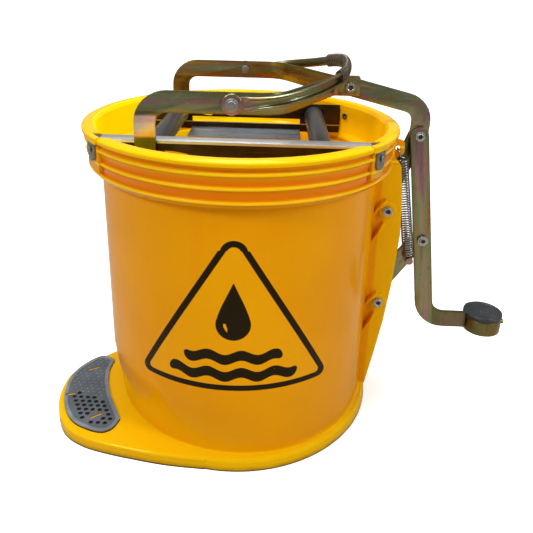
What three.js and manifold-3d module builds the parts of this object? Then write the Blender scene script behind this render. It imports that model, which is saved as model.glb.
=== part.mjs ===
// Mop bucket with a foot-operated roller wringer, in millimetres, +Z up.
// The bucket's axis is the Z axis and it stands on z = 0; the pedal is towards +X.
import * as THREE from "three";
import { mergeVertices } from "three/addons/utils/BufferGeometryUtils.js";
import Module from "manifold-3d";

const wasm = await Module();
wasm.setup();

// Facets round the bucket
const ROUND = 64;

// Gaps
const GAP = 0.3; // between pieces that touch
const RUN = 0.08; // radial running clearance of a roller on its axle
const PIN_FREE = 0.5; // radial clearance of a pin in a link's eye

// Bucket shell
const RIM_Z = 326;
const LIP_R = 165;
const LIP_DEPTH = 7;
const MOUTH_R = LIP_R - 13.5;
const RIDGES = [[LIP_R - 2, RIM_Z - 12.7], [LIP_R - 3.4, RIM_Z - 25.4], [LIP_R - 4.8, RIM_Z - 38.6]];
const GROOVE = 3;
const BODY_TOP_R = LIP_R - 18;
const BODY_TOP_Z = RIM_Z - 47;
const BODY_BOTTOM_R = BODY_TOP_R - 2.5;
const WALL = 3.6;
const FLOOR_TOP = 9;
const FLOOR_UNDER = 5;
const BASE_R = BODY_BOTTOM_R + 8.5;
const LEDGE_R = BASE_R - 1.5;
const LEDGE_Z = 13;
const FOOT_R = 12;
// Toe clearance above the foot platform: the lower wall leans in towards the bucket's axis
const TOE_TOP_Z = 78;
const TOE_IN = 8;
const TOE_ANGLE = 207;

// Foot platform and its tread pad
const PAD_T = 3.4;
const PAD_RECESS = 1.2;
const DRAWN_R = 153; // the base radius that the outlines of the platform and pad are drawn for
const PAD_CENTRE = onBase([-163, -58]);
const PAD_ROOM = 1.006; // the recess's size over the pad's

// Linkage, in the XZ plane
const BAR_T = 4;
const BAR_W = 19.5;
const PLATE_GAP = 0.4;
const UPPER_PIVOT = [BODY_TOP_R + BAR_W / 2 + 1.85, RIM_Z - 93];
const LOWER_PIVOT = [BODY_TOP_R + BAR_W / 2 + 0.75, RIM_Z - 203];
const TOP_PIN = [LIP_R + 23.5, RIM_Z - 15];
const MID_PIN = [LIP_R + 39, RIM_Z - 134];
const SPRING_PIN_AT = 0.69; // along the lower link, from the rib to the lever
const PIN_R = 3.2;
const SOCKET_R = 2.2;
const UPPER_SWING = 28; // degrees that the upper link turns, pedal up to pedal down
const YOKE_SHARE = 1 - 0.8233; // of the upper link's turn

// Pedal
const LEVER_FOOT_Z = 93.5;
const LEVER_BEND_R = 24;
const CUP_X = LIP_R + 120;
const CUP_R = 21;
const CUP_LOW = 81;
const CUP_HIGH = 98;
const CUP_WALL = 2.4;
const PEDAL_PAD_T = 5;
const PAD_LIP = 0.6; // how far the pedal's pad stands past its cup

// Wringer
const SHEET = 2.5;
const FRONT_Y = -105; // front face of the front cross member
const REAR_Y = 92; // front face of the rear cross member
const MEMBER_TOP = RIM_Z - 1;
const MEMBER_DROP = 28;
const FLANGE_D = 16;
const REAR_TOP = RIM_Z - 4;
const REAR_DROP = 34;
const REAR_HALF = Math.sqrt(MOUTH_R ** 2 - REAR_Y ** 2) - 6.4;
const SHELF_D = 45;
const TAB_W = 14;
const TAB_DROP = 15;
const TAB_R = LIP_R - 1.6;
const ROLLER_Z = RIM_Z - 17;
const ROLLER_R = 11;
const MOVING_X = -80;
const FIXED_X = 82;
const AXLE_R = 3.5;
const SLOT_FREE = 1; // between the moving axle and its slots
const EYELET_CLEAR = 1.9; // from the rear cross member to the middle of an eyelet
const SHELF_HALF = FIXED_X - 16;
const WINDOW_LOW = RIM_Z - 29;
const WINDOW_HIGH = ROLLER_Z - AXLE_R - SLOT_FREE - 1;

// Yoke arms
const ARM_Z = RIM_Z + 35.5;
const ARM_BEND_R = 20;
const ARM_FREE = 1; // between an arm and the cross member beside it
const CLAMP_X = LIP_R - 53;
const ARM_END_X = CLAMP_X + 10;
const JOIN_X = CLAMP_X - 17;
const JOIN_BEND_R = 8;
const ELBOW_X = JOIN_X - 55;
const ELBOW_BEND_R = 30;
const BAIL_X = -2;
const BAIL_APEX_X = CLAMP_X - 6;
const BAIL_W = 13;
const BAIL_T = 5;
const BAIL_LIFT = 14.5;

// Rib that carries the linkage
const RIB_HALF = 22;
const RIB_WALL = 4;
const BOSS_R = 9.5;
const BOSS_T = 2;
const LUG_Y = -11;
const LUG_T = 4;
const LUG_HOLE = [LIP_R + 0.6, RIM_Z - 26.5];

// Return spring
const SPRING_R = 6;
const SPRING_TOP = [LIP_R + 6.6, RIM_Z - 38.5];
const SPRING_LOW_GAP = 6;
const WIRE_R = 0.9;

const YELLOW = { color: 0xf5b30a, roughness: 0.35, metalness: 0 };
const ZINC = { color: 0x8f8a4c, roughness: 0.38, metalness: 1 };
const BRIGHT = { color: 0xc9ccd0, roughness: 0.25, metalness: 1 };
const DARK_STEEL = { color: 0x3a3330, roughness: 0.4, metalness: 0.8 };
const BLACK = { color: 0x2b2d2f, roughness: 0.45, metalness: 0 };
const GREY = { color: 0x5b6066, roughness: 0.7, metalness: 0 };

// --- solids -----------------------------------------------------------------

function solid(geometry) {
  const bare = geometry.index ? geometry.toNonIndexed() : geometry.clone();
  bare.deleteAttribute("normal");
  bare.deleteAttribute("uv");
  const merged = mergeVertices(bare, 1e-4);
  const mesh = new wasm.Mesh({
    numProp: 3,
    vertProperties: merged.attributes.position.array,
    triVerts: new Uint32Array(merged.index.array),
  });
  return new wasm.Manifold(mesh);
}

function geometryOf(made) {
  const mesh = made.getMesh();
  const geometry = new THREE.BufferGeometry();
  geometry.setAttribute("position", new THREE.BufferAttribute(mesh.vertProperties, 3));
  geometry.setIndex(new THREE.BufferAttribute(mesh.triVerts, 1));
  const flat = geometry.toNonIndexed();
  flat.computeVertexNormals();
  return flat;
}

function union(parts) {
  return parts.reduce((sum, part) => sum.add(part));
}

function cut(body, tools) {
  return tools.reduce((left, tool) => left.subtract(tool), body);
}

function block(low, high) {
  const size = high.map((value, i) => value - low[i]);
  const geometry = new THREE.BoxGeometry(...size);
  geometry.translate(...low.map((value, i) => value + size[i] / 2));
  return solid(geometry);
}

// A round bar along Y, centred on (x, z).
function rodY(r, [x, z], y0, y1, sides = 16) {
  const geometry = new THREE.CylinderGeometry(r, r, y1 - y0, sides);
  geometry.translate(x, (y0 + y1) / 2, z);
  return solid(geometry);
}

function discZ(r, [x, y], z0, z1, sides = 32) {
  const geometry = new THREE.CylinderGeometry(r, r, z1 - z0, sides);
  geometry.rotateX(Math.PI / 2);
  geometry.translate(x, y, (z0 + z1) / 2);
  return solid(geometry);
}

// A turned body about the Z axis from a profile of [radius, z].
function turned(profile, sides) {
  const points = profile.map(([r, z]) => new THREE.Vector2(r, z));
  const geometry = new THREE.LatheGeometry(points, sides);
  geometry.rotateX(Math.PI / 2);
  const made = solid(geometry);
  return made.volume() < 0 ? solid(flipped(geometry)) : made;
}

// A solid drum about the Z axis with the bucket's facets.
function drum(r, z0, z1) {
  return turned([[0, z0], [r, z0], [r, z1], [0, z1]], ROUND);
}

function flipped(geometry) {
  const loose = geometry.toNonIndexed();
  const p = loose.attributes.position;
  for (let i = 0; i < p.count; i += 3) {
    const a = new THREE.Vector3().fromBufferAttribute(p, i);
    const b = new THREE.Vector3().fromBufferAttribute(p, i + 1);
    p.setXYZ(i, b.x, b.y, b.z);
    p.setXYZ(i + 1, a.x, a.y, a.z);
  }
  return loose;
}

function shapeOf(points, holes = []) {
  const shape = new THREE.Shape(points.map(([a, b]) => new THREE.Vector2(a, b)));
  for (const hole of holes) {
    shape.holes.push(new THREE.Path(hole.map(([a, b]) => new THREE.Vector2(a, b))));
  }
  return shape;
}

// An outline in (x, z) made solid between two y values.
function plateY(points, y0, y1, holes = []) {
  const geometry = new THREE.ExtrudeGeometry(shapeOf(points, holes), {
    depth: y1 - y0,
    bevelEnabled: false,
    steps: 1,
  });
  geometry.rotateX(Math.PI / 2);
  geometry.translate(0, y1, 0);
  return solid(geometry);
}

// An outline in (x, y) made solid between two z values.
function plateZ(points, z0, z1) {
  const geometry = new THREE.ExtrudeGeometry(shapeOf(points), {
    depth: z1 - z0,
    bevelEnabled: false,
    steps: 1,
  });
  geometry.translate(0, 0, z0);
  return solid(geometry);
}

function ring([cx, cz], r, sides = 24) {
  return Array.from({ length: sides }, (_, i) => {
    const a = (i / sides) * 2 * Math.PI;
    return [cx + r * Math.cos(a), cz + r * Math.sin(a)];
  });
}

// A path through the corners, with the inner corners rounded to one radius or to one each.
function rounded(corners, radii, steps = 8) {
  const path = [corners[0]];
  for (let i = 1; i < corners.length - 1; i++) {
    const radius = Array.isArray(radii) ? radii[i - 1] : radii;
    const corner = new THREE.Vector2(...corners[i]);
    const back = new THREE.Vector2(...corners[i - 1]).sub(corner).normalize();
    const on = new THREE.Vector2(...corners[i + 1]).sub(corner).normalize();
    const half = Math.acos(THREE.MathUtils.clamp(back.dot(on), -1, 1)) / 2;
    const reach = radius / Math.tan(half);
    const curve = arcBetween(corner, back, on, reach, radius, half, steps);
    path.push(...curve);
  }
  path.push(corners.at(-1));
  return path;
}

function arcBetween(corner, back, on, reach, radius, half, steps) {
  const start = corner.clone().addScaledVector(back, reach);
  const end = corner.clone().addScaledVector(on, reach);
  const middle = back.clone().add(on).normalize();
  const centre = corner.clone().addScaledVector(middle, radius / Math.sin(half));
  const from = start.clone().sub(centre).angle();
  let turn = end.clone().sub(centre).angle() - from;
  if (turn > Math.PI) turn -= 2 * Math.PI;
  if (turn < -Math.PI) turn += 2 * Math.PI;
  return Array.from({ length: steps + 1 }, (_, k) => {
    const a = from + (turn * k) / steps;
    return [centre.x + radius * Math.cos(a), centre.y + radius * Math.sin(a)];
  });
}

// The outline of a strip of the given half width along a path, with round or square ends.
function strip(path, half, roundStart = true, roundEnd = true) {
  const points = path.map(([a, b]) => new THREE.Vector2(a, b));
  const left = [];
  const right = [];
  points.forEach((point, i) => {
    const before = points[Math.max(i - 1, 0)];
    const after = points[Math.min(i + 1, points.length - 1)];
    const back = point.clone().sub(before);
    const on = after.clone().sub(point);
    if (back.length() === 0) back.copy(on);
    if (on.length() === 0) on.copy(back);
    back.normalize();
    on.normalize();
    const along = back.clone().add(on).normalize();
    const stretch = half / Math.max(along.dot(back), 0.2);
    left.push([point.x - along.y * stretch, point.y + along.x * stretch]);
    right.push([point.x + along.y * stretch, point.y - along.x * stretch]);
  });
  const endCap = roundEnd ? cap(points.at(-1), points.at(-2), half) : [];
  const startCap = roundStart ? cap(points[0], points[1], half) : [];
  return [...right, ...endCap, ...left.reverse(), ...startCap];
}

function cap(end, inner, half, steps = 10) {
  const out = end.clone().sub(inner).angle();
  return Array.from({ length: steps - 1 }, (_, k) => {
    const a = out - Math.PI / 2 + ((k + 1) * Math.PI) / steps;
    return [end.x + half * Math.cos(a), end.y + half * Math.sin(a)];
  });
}

// A point turned about a centre by degrees, positive taking +Z towards +X.
function swung([x, z], [cx, cz], degrees) {
  const a = THREE.MathUtils.degToRad(degrees);
  const dx = x - cx;
  const dz = z - cz;
  return [cx + dx * Math.cos(a) + dz * Math.sin(a), cz - dx * Math.sin(a) + dz * Math.cos(a)];
}

function between([ax, az], [bx, bz], share) {
  return [ax + (bx - ax) * share, az + (bz - az) * share];
}

function polar(r, degrees) {
  const a = THREE.MathUtils.degToRad(degrees);
  return [r * Math.cos(a), r * Math.sin(a)];
}

const parts = [];

function add(name, made, looks) {
  const mesh = new THREE.Mesh(geometryOf(made), new THREE.MeshStandardMaterial(looks));
  mesh.name = name;
  parts.push(mesh);
}

// --- planes of the flat pieces ------------------------------------------------

const MID_BACK = BAR_T / 2;
const LEVER_Y = [-MID_BACK - PLATE_GAP - BAR_T, -MID_BACK - PLATE_GAP];
const LINK_Y = [MID_BACK + PLATE_GAP, MID_BACK + PLATE_GAP + BAR_T];
const FRONT_ARM_Y = [FRONT_Y - ARM_FREE - BAR_T, FRONT_Y - ARM_FREE];
const REAR_ARM_Y = [REAR_Y + SHEET + ARM_FREE, REAR_Y + SHEET + ARM_FREE + BAR_T];
const HALF_W = BAR_W / 2;

// --- bucket ---------------------------------------------------------------------

function outerProfile() {
  const lipLow = RIM_Z - LIP_DEPTH;
  const profile = [[0, 0], [BASE_R, 0], [BASE_R, 1], [LEDGE_R + 0.4, LEDGE_Z - 2], [LEDGE_R - 1.4, LEDGE_Z]];
  profile.push([BODY_BOTTOM_R + 2, LEDGE_Z], [BODY_BOTTOM_R, LEDGE_Z + 3], [BODY_TOP_R, BODY_TOP_Z]);
  for (const [r, z] of [...RIDGES].reverse()) {
    profile.push([r - GROOVE, z - 6], [r, z - 1], [r, z + 0.8], [r - GROOVE, z + 1.8]);
  }
  profile.push([LIP_R - GROOVE - 1, lipLow], [LIP_R, lipLow + 1], [LIP_R, RIM_Z - 3.5]);
  profile.push([LIP_R - 2, RIM_Z - 1.2], [LIP_R - 6, RIM_Z], [0, RIM_Z]);
  return profile;
}

// The wall's lean above the platform, as a round prism from the toe's foot up to its top.
function leaningPrism(radiusHigh, radiusLow, z0, z1) {
  const geometry = new THREE.CylinderGeometry(radiusHigh, radiusLow, z1 - z0, ROUND);
  geometry.rotateX(Math.PI / 2);
  geometry.translate(0, 0, (z0 + z1) / 2);
  const p = geometry.attributes.position;
  const [dx, dy] = polar(-TOE_IN, TOE_ANGLE);
  for (let i = 0; i < p.count; i++) {
    const share = (z1 - p.getZ(i)) / (z1 - z0);
    p.setXY(i, p.getX(i) + dx * share, p.getY(i) + dy * share);
  }
  return solid(geometry);
}

function bodyRadius(z) {
  const share = (z - LEDGE_Z) / (BODY_TOP_Z - LEDGE_Z);
  return BODY_BOTTOM_R + (BODY_TOP_R - BODY_BOTTOM_R) * share;
}

function toeCut() {
  const around = drum(BASE_R + 3, LEDGE_Z, TOE_TOP_Z);
  const high = bodyRadius(TOE_TOP_Z) + 0.4;
  const kept = leaningPrism(high, BODY_BOTTOM_R + 0.4, LEDGE_Z - 0.01, TOE_TOP_Z + 0.01);
  return around.subtract(kept);
}

function cavity() {
  const low = BODY_BOTTOM_R - WALL;
  const round = 4;
  const hollow = turned(
    [
      [0, FLOOR_TOP],
      [low - round, FLOOR_TOP],
      [low - 1, FLOOR_TOP + 1],
      [low, FLOOR_TOP + round],
      [BODY_TOP_R - WALL, BODY_TOP_Z - 2],
      [MOUTH_R - 1.8, BODY_TOP_Z + 10],
      [MOUTH_R, RIM_Z - 3],
      [MOUTH_R + 2, RIM_Z + 0.1],
      [0, RIM_Z + 0.1],
    ],
    ROUND,
  );
  const lowRing = drum(BASE_R, FLOOR_TOP - 1, TOE_TOP_Z);
  const high = bodyRadius(TOE_TOP_Z) + 0.4 - WALL;
  const kept = leaningPrism(high, BODY_BOTTOM_R - 0.8 - WALL, FLOOR_TOP - 1.01, TOE_TOP_Z + 0.01);
  return hollow.subtract(lowRing.subtract(kept));
}

// A point of the platform's or pad's outline, moved to suit the base's radius.
function onBase([x, y]) {
  return [(x * BASE_R) / DRAWN_R, (y * BASE_R) / DRAWN_R];
}

function smooth(knots, steps) {
  const curve = new THREE.CatmullRomCurve3(knots.map(([x, y]) => new THREE.Vector3(x, y, 0)));
  return curve.getPoints(steps).map((p) => [p.x, p.y]);
}

function platformOutline() {
  const knots = [
    [-150, 24], [-160, 14], [-172, 2], [-186, -12.5], [-197, -31], [-199.5, -53], [-196, -76],
    [-187.5, -98], [-174, -117], [-153, -130], [-128, -137.5], [-98, -143.5], [-62, -149], [-24, -151.6],
  ];
  return [...smooth(knots, 44), [0, -110], [-100, 0]].map(onBase);
}

function scaledAbout(points, [cx, cy], share) {
  return points.map(([x, y]) => [cx + (x - cx) * share, cy + (y - cy) * share]);
}

function platform() {
  const outline = platformOutline();
  const centre = onBase([-110, -40]);
  const skirt = plateZ(outline, 0, LEDGE_Z - 2);
  const shoulder = plateZ(scaledAbout(outline, centre, 0.991), LEDGE_Z - 2.1, LEDGE_Z - 0.6);
  const top = plateZ(scaledAbout(outline, centre, 0.98), LEDGE_Z - 0.7, LEDGE_Z);
  return union([skirt, shoulder, top]);
}

function padOutline(wider = 0) {
  const inner = [189, 197, 205, 213].map((angle) => polar(DRAWN_R + 2.5 - wider, angle));
  const knots = [
    [-152.5, -4], [-160, 2], [-170, 2.5], [-179, -5], [-188, -18], [-193.5, -33], [-194.5, -52],
    [-190.5, -74], [-181, -95], [-168, -111], [-152, -119.5], [-134, -123.5], [-124.5, -118],
    [-119.8, -103.5],
  ];
  return [...smooth(knots, 40), ...inner.reverse()].map(onBase);
}

// Distances out from the top of the body and down from the rim; the last three are up from the floor.
const RIB_OUTLINE = [
  ...[[-7, 30], [13, 29], [22, 43], [26, 76], [28.6, 121], [24.5, 184], [19, 230]].map(([out, down]) => [
    BODY_TOP_R + out,
    RIM_Z - down,
  ]),
  ...[[13, 60], [4.5, 12], [-7, 12]].map(([out, up]) => [BODY_TOP_R + out, up]),
];

function rib() {
  const walls = [-1, 1].map((side) => {
    const y = [side * RIB_HALF, side * (RIB_HALF - RIB_WALL)].sort((a, b) => a - b);
    return plateY(RIB_OUTLINE, ...y);
  });
  const bosses = [UPPER_PIVOT, LOWER_PIVOT].flatMap((centre) => [
    rodY(BOSS_R, centre, -RIB_HALF - BOSS_T, -RIB_HALF + 1),
    rodY(BOSS_R, centre, RIB_HALF - 1, RIB_HALF + BOSS_T),
  ]);
  return union([...walls, ...bosses]);
}

// Curved blades that brace each boss to the body.
function gussets() {
  const blades = [];
  for (const [x, z] of [UPPER_PIVOT, LOWER_PIVOT]) {
    const above = rounded([[x - 3, z + 12], [x - 11, z + 4], [x - 18, z - 10]], 14, 5);
    const below = rounded([[x - 3, z - 12], [x - 8, z - 24], [x - 20, z - 42]], 40, 5);
    for (const path of [above, below]) {
      const blade = strip(path, 1.3, false, false);
      blades.push(plateY(blade, -RIB_HALF - 8, -RIB_HALF + 1), plateY(blade, RIB_HALF - 1, RIB_HALF + 8));
    }
  }
  return union(blades);
}

function lug() {
  const [x, z] = LUG_HOLE;
  const inner = BODY_TOP_R - 1;
  const outline = rounded(
    [[inner, z - 16], [x - 2, z - 12], [x + 7, z - 6], [x + 7, z + 8], [x - 2, z + 10], [inner, z + 10]],
    3,
    3,
  );
  return plateY(outline, LUG_Y - LUG_T / 2, LUG_Y + LUG_T / 2, [ring(LUG_HOLE, 2.6, 16)]);
}

const TAB_ANGLE = THREE.MathUtils.radToDeg(Math.asin((-FRONT_Y - FLANGE_D / 2) / TAB_R));

// A flat pad on the outside of the rim behind each of the front member's tabs.
function tabSeats() {
  return union(
    [180 + TAB_ANGLE, -TAB_ANGLE].map((angle) => {
      const seat = new THREE.BoxGeometry(12, TAB_W + 7, 36);
      seat.translate(TAB_R - GAP - 6, 0, RIM_Z - LIP_DEPTH - 15);
      seat.rotateZ(THREE.MathUtils.degToRad(angle));
      return solid(seat);
    }),
  );
}

function tabPockets() {
  return union(
    [180 + TAB_ANGLE, -TAB_ANGLE].map((angle) => {
      const pocket = new THREE.BoxGeometry(12, TAB_W + 1, TAB_DROP + 20);
      pocket.translate(TAB_R - GAP + 6, 0, MEMBER_TOP - TAB_DROP + (TAB_DROP + 20) / 2 - 1);
      pocket.rotateZ(THREE.MathUtils.degToRad(angle));
      return solid(pocket);
    }),
  );
}

function padRecess(outline) {
  return plateZ(outline, LEDGE_Z - PAD_RECESS, LEDGE_Z + 6);
}

function makeBucket() {
  const body = turned(outerProfile(), ROUND);
  const outside = union([cut(body, [toeCut()]), platform(), rib(), gussets(), lug(), tabSeats()]);
  const flangeWay = block(
    [-LIP_R - 5, FRONT_Y - GAP, MEMBER_TOP - SHEET - GAP],
    [LIP_R + 5, FRONT_Y + FLANGE_D + GAP, RIM_Z + 1],
  );
  const under = drum(BODY_BOTTOM_R - 2, -1, FLOOR_UNDER);
  const foot = discZ(FOOT_R, [0, 0], -2, FLOOR_UNDER + 1, 32);
  const boltWays = [UPPER_PIVOT, LOWER_PIVOT].map((centre) =>
    rodY(PIN_R + GAP, centre, -RIB_HALF - 9, RIB_HALF + 9),
  );
  const padHole = padRecess(scaledAbout(padOutline(GAP), PAD_CENTRE, PAD_ROOM));
  const eyeletWays = [-1, 1].map((side) => {
    const angle = 90 - side * EYELET_TURN;
    return rodFrom(2.3, polar(MOUTH_R - 8, angle), angle, 24);
  });
  const tabWays = [180 + TAB_ANGLE, -TAB_ANGLE].map(rivetWay);
  const holes = [...boltWays, ...eyeletWays, ...tabWays, padHole];
  return cut(outside, [cavity(), flangeWay, tabPockets(), under.subtract(foot), ...holes]);
}

// Each side of the rear, just in front of the rear cross member
const EYELET_TURN = THREE.MathUtils.radToDeg(Math.acos((REAR_Y - EYELET_CLEAR) / MOUTH_R));
const EYELET_Z = RIM_Z - 17;

// A round bar that points outwards from the bucket's axis, at the eyelets' height.
function rodFrom(r, [x, y], degrees, length, sides = 16, z = EYELET_Z) {
  const geometry = new THREE.CylinderGeometry(r, r, length, sides);
  geometry.rotateZ(-Math.PI / 2);
  geometry.translate(length / 2, 0, 0);
  geometry.rotateZ(THREE.MathUtils.degToRad(degrees));
  geometry.translate(x, y, z);
  return solid(geometry);
}

// The hole for a tab's rivet.
function rivetWay(angle) {
  return rodFrom(1.9, polar(TAB_R - 4, angle), angle, 12, 16, MEMBER_TOP - TAB_DROP + 3);
}

add("bucket_shell", makeBucket(), YELLOW);
add(
  "foot_tread_pad",
  plateZ(padOutline(), LEDGE_Z - PAD_RECESS + GAP, LEDGE_Z - PAD_RECESS + GAP + PAD_T),
  GREY,
);

function makeEyelet(side) {
  const angle = 90 - side * EYELET_TURN;
  const head = rodFrom(4, polar(MOUTH_R - 3.2, angle), angle, 1.8, 20);
  const shank = rodFrom(2, polar(MOUTH_R - 2.4, angle), angle, 9.5, 16);
  const bore = rodFrom(1.1, polar(MOUTH_R - 5, angle), angle, 20, 12);
  return head.add(shank).subtract(bore);
}

add("wall_eyelet_right", makeEyelet(1), BRIGHT);
add("wall_eyelet_left", makeEyelet(-1), BRIGHT);

// --- wringer frame ----------------------------------------------------------------

// Where the moving axle goes as the upper link swings.
function axlePath() {
  return Array.from({ length: 9 }, (_, i) => {
    const turn = (UPPER_SWING * i) / 8;
    const pin = swung(TOP_PIN, UPPER_PIVOT, turn);
    const start = [MOVING_X - TOP_PIN[0] + pin[0], ROLLER_Z - TOP_PIN[1] + pin[1]];
    return swung(start, pin, turn * YOKE_SHARE);
  });
}

function axleSlot(y0, y1) {
  const path = axlePath();
  const first = [path[0][0] - 1, path[0][1]];
  const last = [path.at(-1)[0] + 1.5, path.at(-1)[1]];
  return plateY(strip([first, ...path.slice(1, -1), last], AXLE_R + SLOT_FREE), y0, y1);
}

function tab(angle) {
  const plate = new THREE.BoxGeometry(SHEET, TAB_W, TAB_DROP);
  plate.translate(TAB_R + SHEET / 2, 0, MEMBER_TOP - TAB_DROP / 2 - SHEET / 2);
  plate.rotateZ(THREE.MathUtils.degToRad(angle));
  const end = rodFrom(TAB_W / 2, polar(TAB_R, angle), angle, SHEET, 24, MEMBER_TOP - TAB_DROP - SHEET / 2);
  const lean = solid(plate).add(end);
  const bore = rodFrom(1.9, polar(TAB_R - 2, angle), angle, 12, 16, MEMBER_TOP - TAB_DROP + 3);
  return lean.subtract(bore);
}

function makeFrontMember() {
  const back = FRONT_Y + FLANGE_D;
  const half = Math.sqrt(MOUTH_R ** 2 - FRONT_Y ** 2) - 4;
  const web = block(
    [-half, FRONT_Y, MEMBER_TOP - MEMBER_DROP],
    [half, FRONT_Y + SHEET, MEMBER_TOP - SHEET / 2],
  );
  const flange = block([-LIP_R, FRONT_Y, MEMBER_TOP - SHEET], [LIP_R, back, MEMBER_TOP]);
  const inRim = drum(TAB_R + SHEET, 0, RIM_Z + 9);
  const trimmed = [180 + TAB_ANGLE, -TAB_ANGLE].reduce((left, angle) => {
    const beyond = new THREE.BoxGeometry(60, 200, 60);
    beyond.translate(TAB_R + SHEET + 30, 0, MEMBER_TOP);
    beyond.rotateZ(THREE.MathUtils.degToRad(angle));
    return left.subtract(solid(beyond));
  }, flange.intersect(inRim));
  const shape = union([web, trimmed, tab(180 + TAB_ANGLE), tab(-TAB_ANGLE)]);
  return cut(shape, [
    axleSlot(FRONT_Y - 5, FRONT_Y + SHEET + 3),
    rodY(AXLE_R + GAP, [FIXED_X, ROLLER_Z], FRONT_Y - 5, FRONT_Y + SHEET + 3),
  ]);
}

function makeRearMember() {
  const low = REAR_TOP - REAR_DROP;
  const web = block([-REAR_HALF, REAR_Y, low], [REAR_HALF, REAR_Y + SHEET, REAR_TOP]);
  const shelf = block([-SHELF_HALF, REAR_Y - SHELF_D, low], [SHELF_HALF, REAR_Y + SHEET / 2, low + SHEET]);
  const window = block(
    [-SHELF_HALF, REAR_Y - 5, WINDOW_LOW],
    [SHELF_HALF, REAR_Y + SHEET + 5, WINDOW_HIGH],
  );
  const inWall = drum(MOUTH_R - 2.6, low, REAR_TOP + 1);
  const ears = [-1, 1].map((side) => {
    const outline = [[-22, 1.5], [-1, 1.5], [4, 5], [-14, 20], [-22, 20]];
    const placed = outline.map(([x, y]) => [side * (REAR_HALF + x), REAR_Y + y]);
    return plateZ(side > 0 ? placed : placed.reverse(), low + 6, REAR_TOP - 5).intersect(inWall);
  });
  return cut(union([web, shelf, ...ears]), [
    window,
    axleSlot(REAR_Y - 3, REAR_Y + SHEET + 3),
    rodY(AXLE_R + GAP, [FIXED_X, ROLLER_Z], REAR_Y - 5, REAR_Y + SHEET + 1),
  ]);
}

add("front_cross_member", makeFrontMember(), BRIGHT);
add("rear_cross_member", makeRearMember(), DARK_STEEL);

function tabRivet(angle) {
  const z = MEMBER_TOP - TAB_DROP + 3;
  const head = rodFrom(3, polar(TAB_R + SHEET + GAP, angle), angle, 1.6, 20, z);
  const shank = rodFrom(1.6, polar(TAB_R - 3, angle), angle, 7, 16, z);
  return head.add(shank);
}

add("tab_rivet_left", tabRivet(180 + TAB_ANGLE), BRIGHT);
add("tab_rivet_right", tabRivet(-TAB_ANGLE), BRIGHT);

// --- rollers and axles --------------------------------------------------------------

const ROLLER_FRONT = FRONT_Y + SHEET + 1.6;
const ROLLER_BACK = REAR_Y - 1.6;

function makeRoller(x) {
  const grooveR = ROLLER_R - 1;
  const profile = [
    [AXLE_R + RUN, ROLLER_FRONT],
    [grooveR, ROLLER_FRONT],
    [ROLLER_R, ROLLER_FRONT + 1],
    [ROLLER_R, ROLLER_BACK - 1],
    [grooveR, ROLLER_BACK],
    [AXLE_R + RUN, ROLLER_BACK],
    [AXLE_R + RUN, ROLLER_FRONT],
  ];
  const made = turned(profile, 32);
  const turnedRound = made.rotate([-90, 0, 0]);
  return turnedRound.translate([x, 0, ROLLER_Z]);
}

function makeAxle(x, y0, y1) {
  return rodY(AXLE_R, [x, ROLLER_Z], y0, y1, 32);
}

function axleNut(x, y0, thick) {
  const nut = new THREE.CylinderGeometry(AXLE_R + 3.4, AXLE_R + 3.4, thick, 6);
  nut.translate(x, y0 + thick / 2, ROLLER_Z);
  return solid(nut).subtract(rodY(AXLE_R + GAP / 2, [x, ROLLER_Z], y0 - 1, y0 + thick + 1, 32));
}

add("fixed_roller", makeRoller(FIXED_X), BLACK);
add("fixed_axle", makeAxle(FIXED_X, FRONT_Y - 4.6, REAR_Y + SHEET + 4.6), BRIGHT);
add("fixed_axle_nut_front", axleNut(FIXED_X, FRONT_Y - 3.8, 3.5), BRIGHT);
add("fixed_axle_nut_rear", axleNut(FIXED_X, REAR_Y + SHEET + GAP, 3.5), BRIGHT);
add("moving_roller", makeRoller(MOVING_X), BLACK);
add("moving_axle", makeAxle(MOVING_X, FRONT_ARM_Y[0] - 4.6, REAR_ARM_Y[1] + 4.6), BRIGHT);
add("moving_axle_nut_front", axleNut(MOVING_X, FRONT_ARM_Y[0] - 3.8, 3.5), BRIGHT);
add("moving_axle_nut_rear", axleNut(MOVING_X, REAR_ARM_Y[1] + GAP, 3.5), BRIGHT);

// --- yoke ------------------------------------------------------------------------------

function makeArm(y, joinY) {
  const middle = (y[0] + y[1]) / 2;
  const drop = rounded([[MOVING_X, ROLLER_Z], [MOVING_X, ARM_Z], [MOVING_X + 60, ARM_Z]], ARM_BEND_R);
  const hook = plateY(strip(drop, HALF_W, true, false), ...y);
  const joinMiddle = (joinY[0] + joinY[1]) / 2;
  const corners = [[MOVING_X + 58, middle], [ELBOW_X, middle], [JOIN_X, joinMiddle], [ARM_END_X, joinMiddle]];
  const plan = rounded(corners, [ELBOW_BEND_R, JOIN_BEND_R], 7);
  const run = plateZ(strip(plan, BAR_T / 2, false, false), ARM_Z - HALF_W, ARM_Z + HALF_W);
  return cut(hook.add(run), [
    rodY(AXLE_R + GAP / 2, [MOVING_X, ROLLER_Z], y[0] - 1, y[1] + 1, 32),
    rodY(PIN_R + GAP, [BAIL_X, ARM_Z], y[0] - 1, y[1] + 1),
    rodY(PIN_R + GAP, [CLAMP_X, ARM_Z - 0.5], joinY[0] - 3, joinY[1] + 3),
  ]);
}

add("front_arm", makeArm(FRONT_ARM_Y, LEVER_Y), ZINC);
add("rear_arm", makeArm(REAR_ARM_Y, LINK_Y), ZINC);

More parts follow.
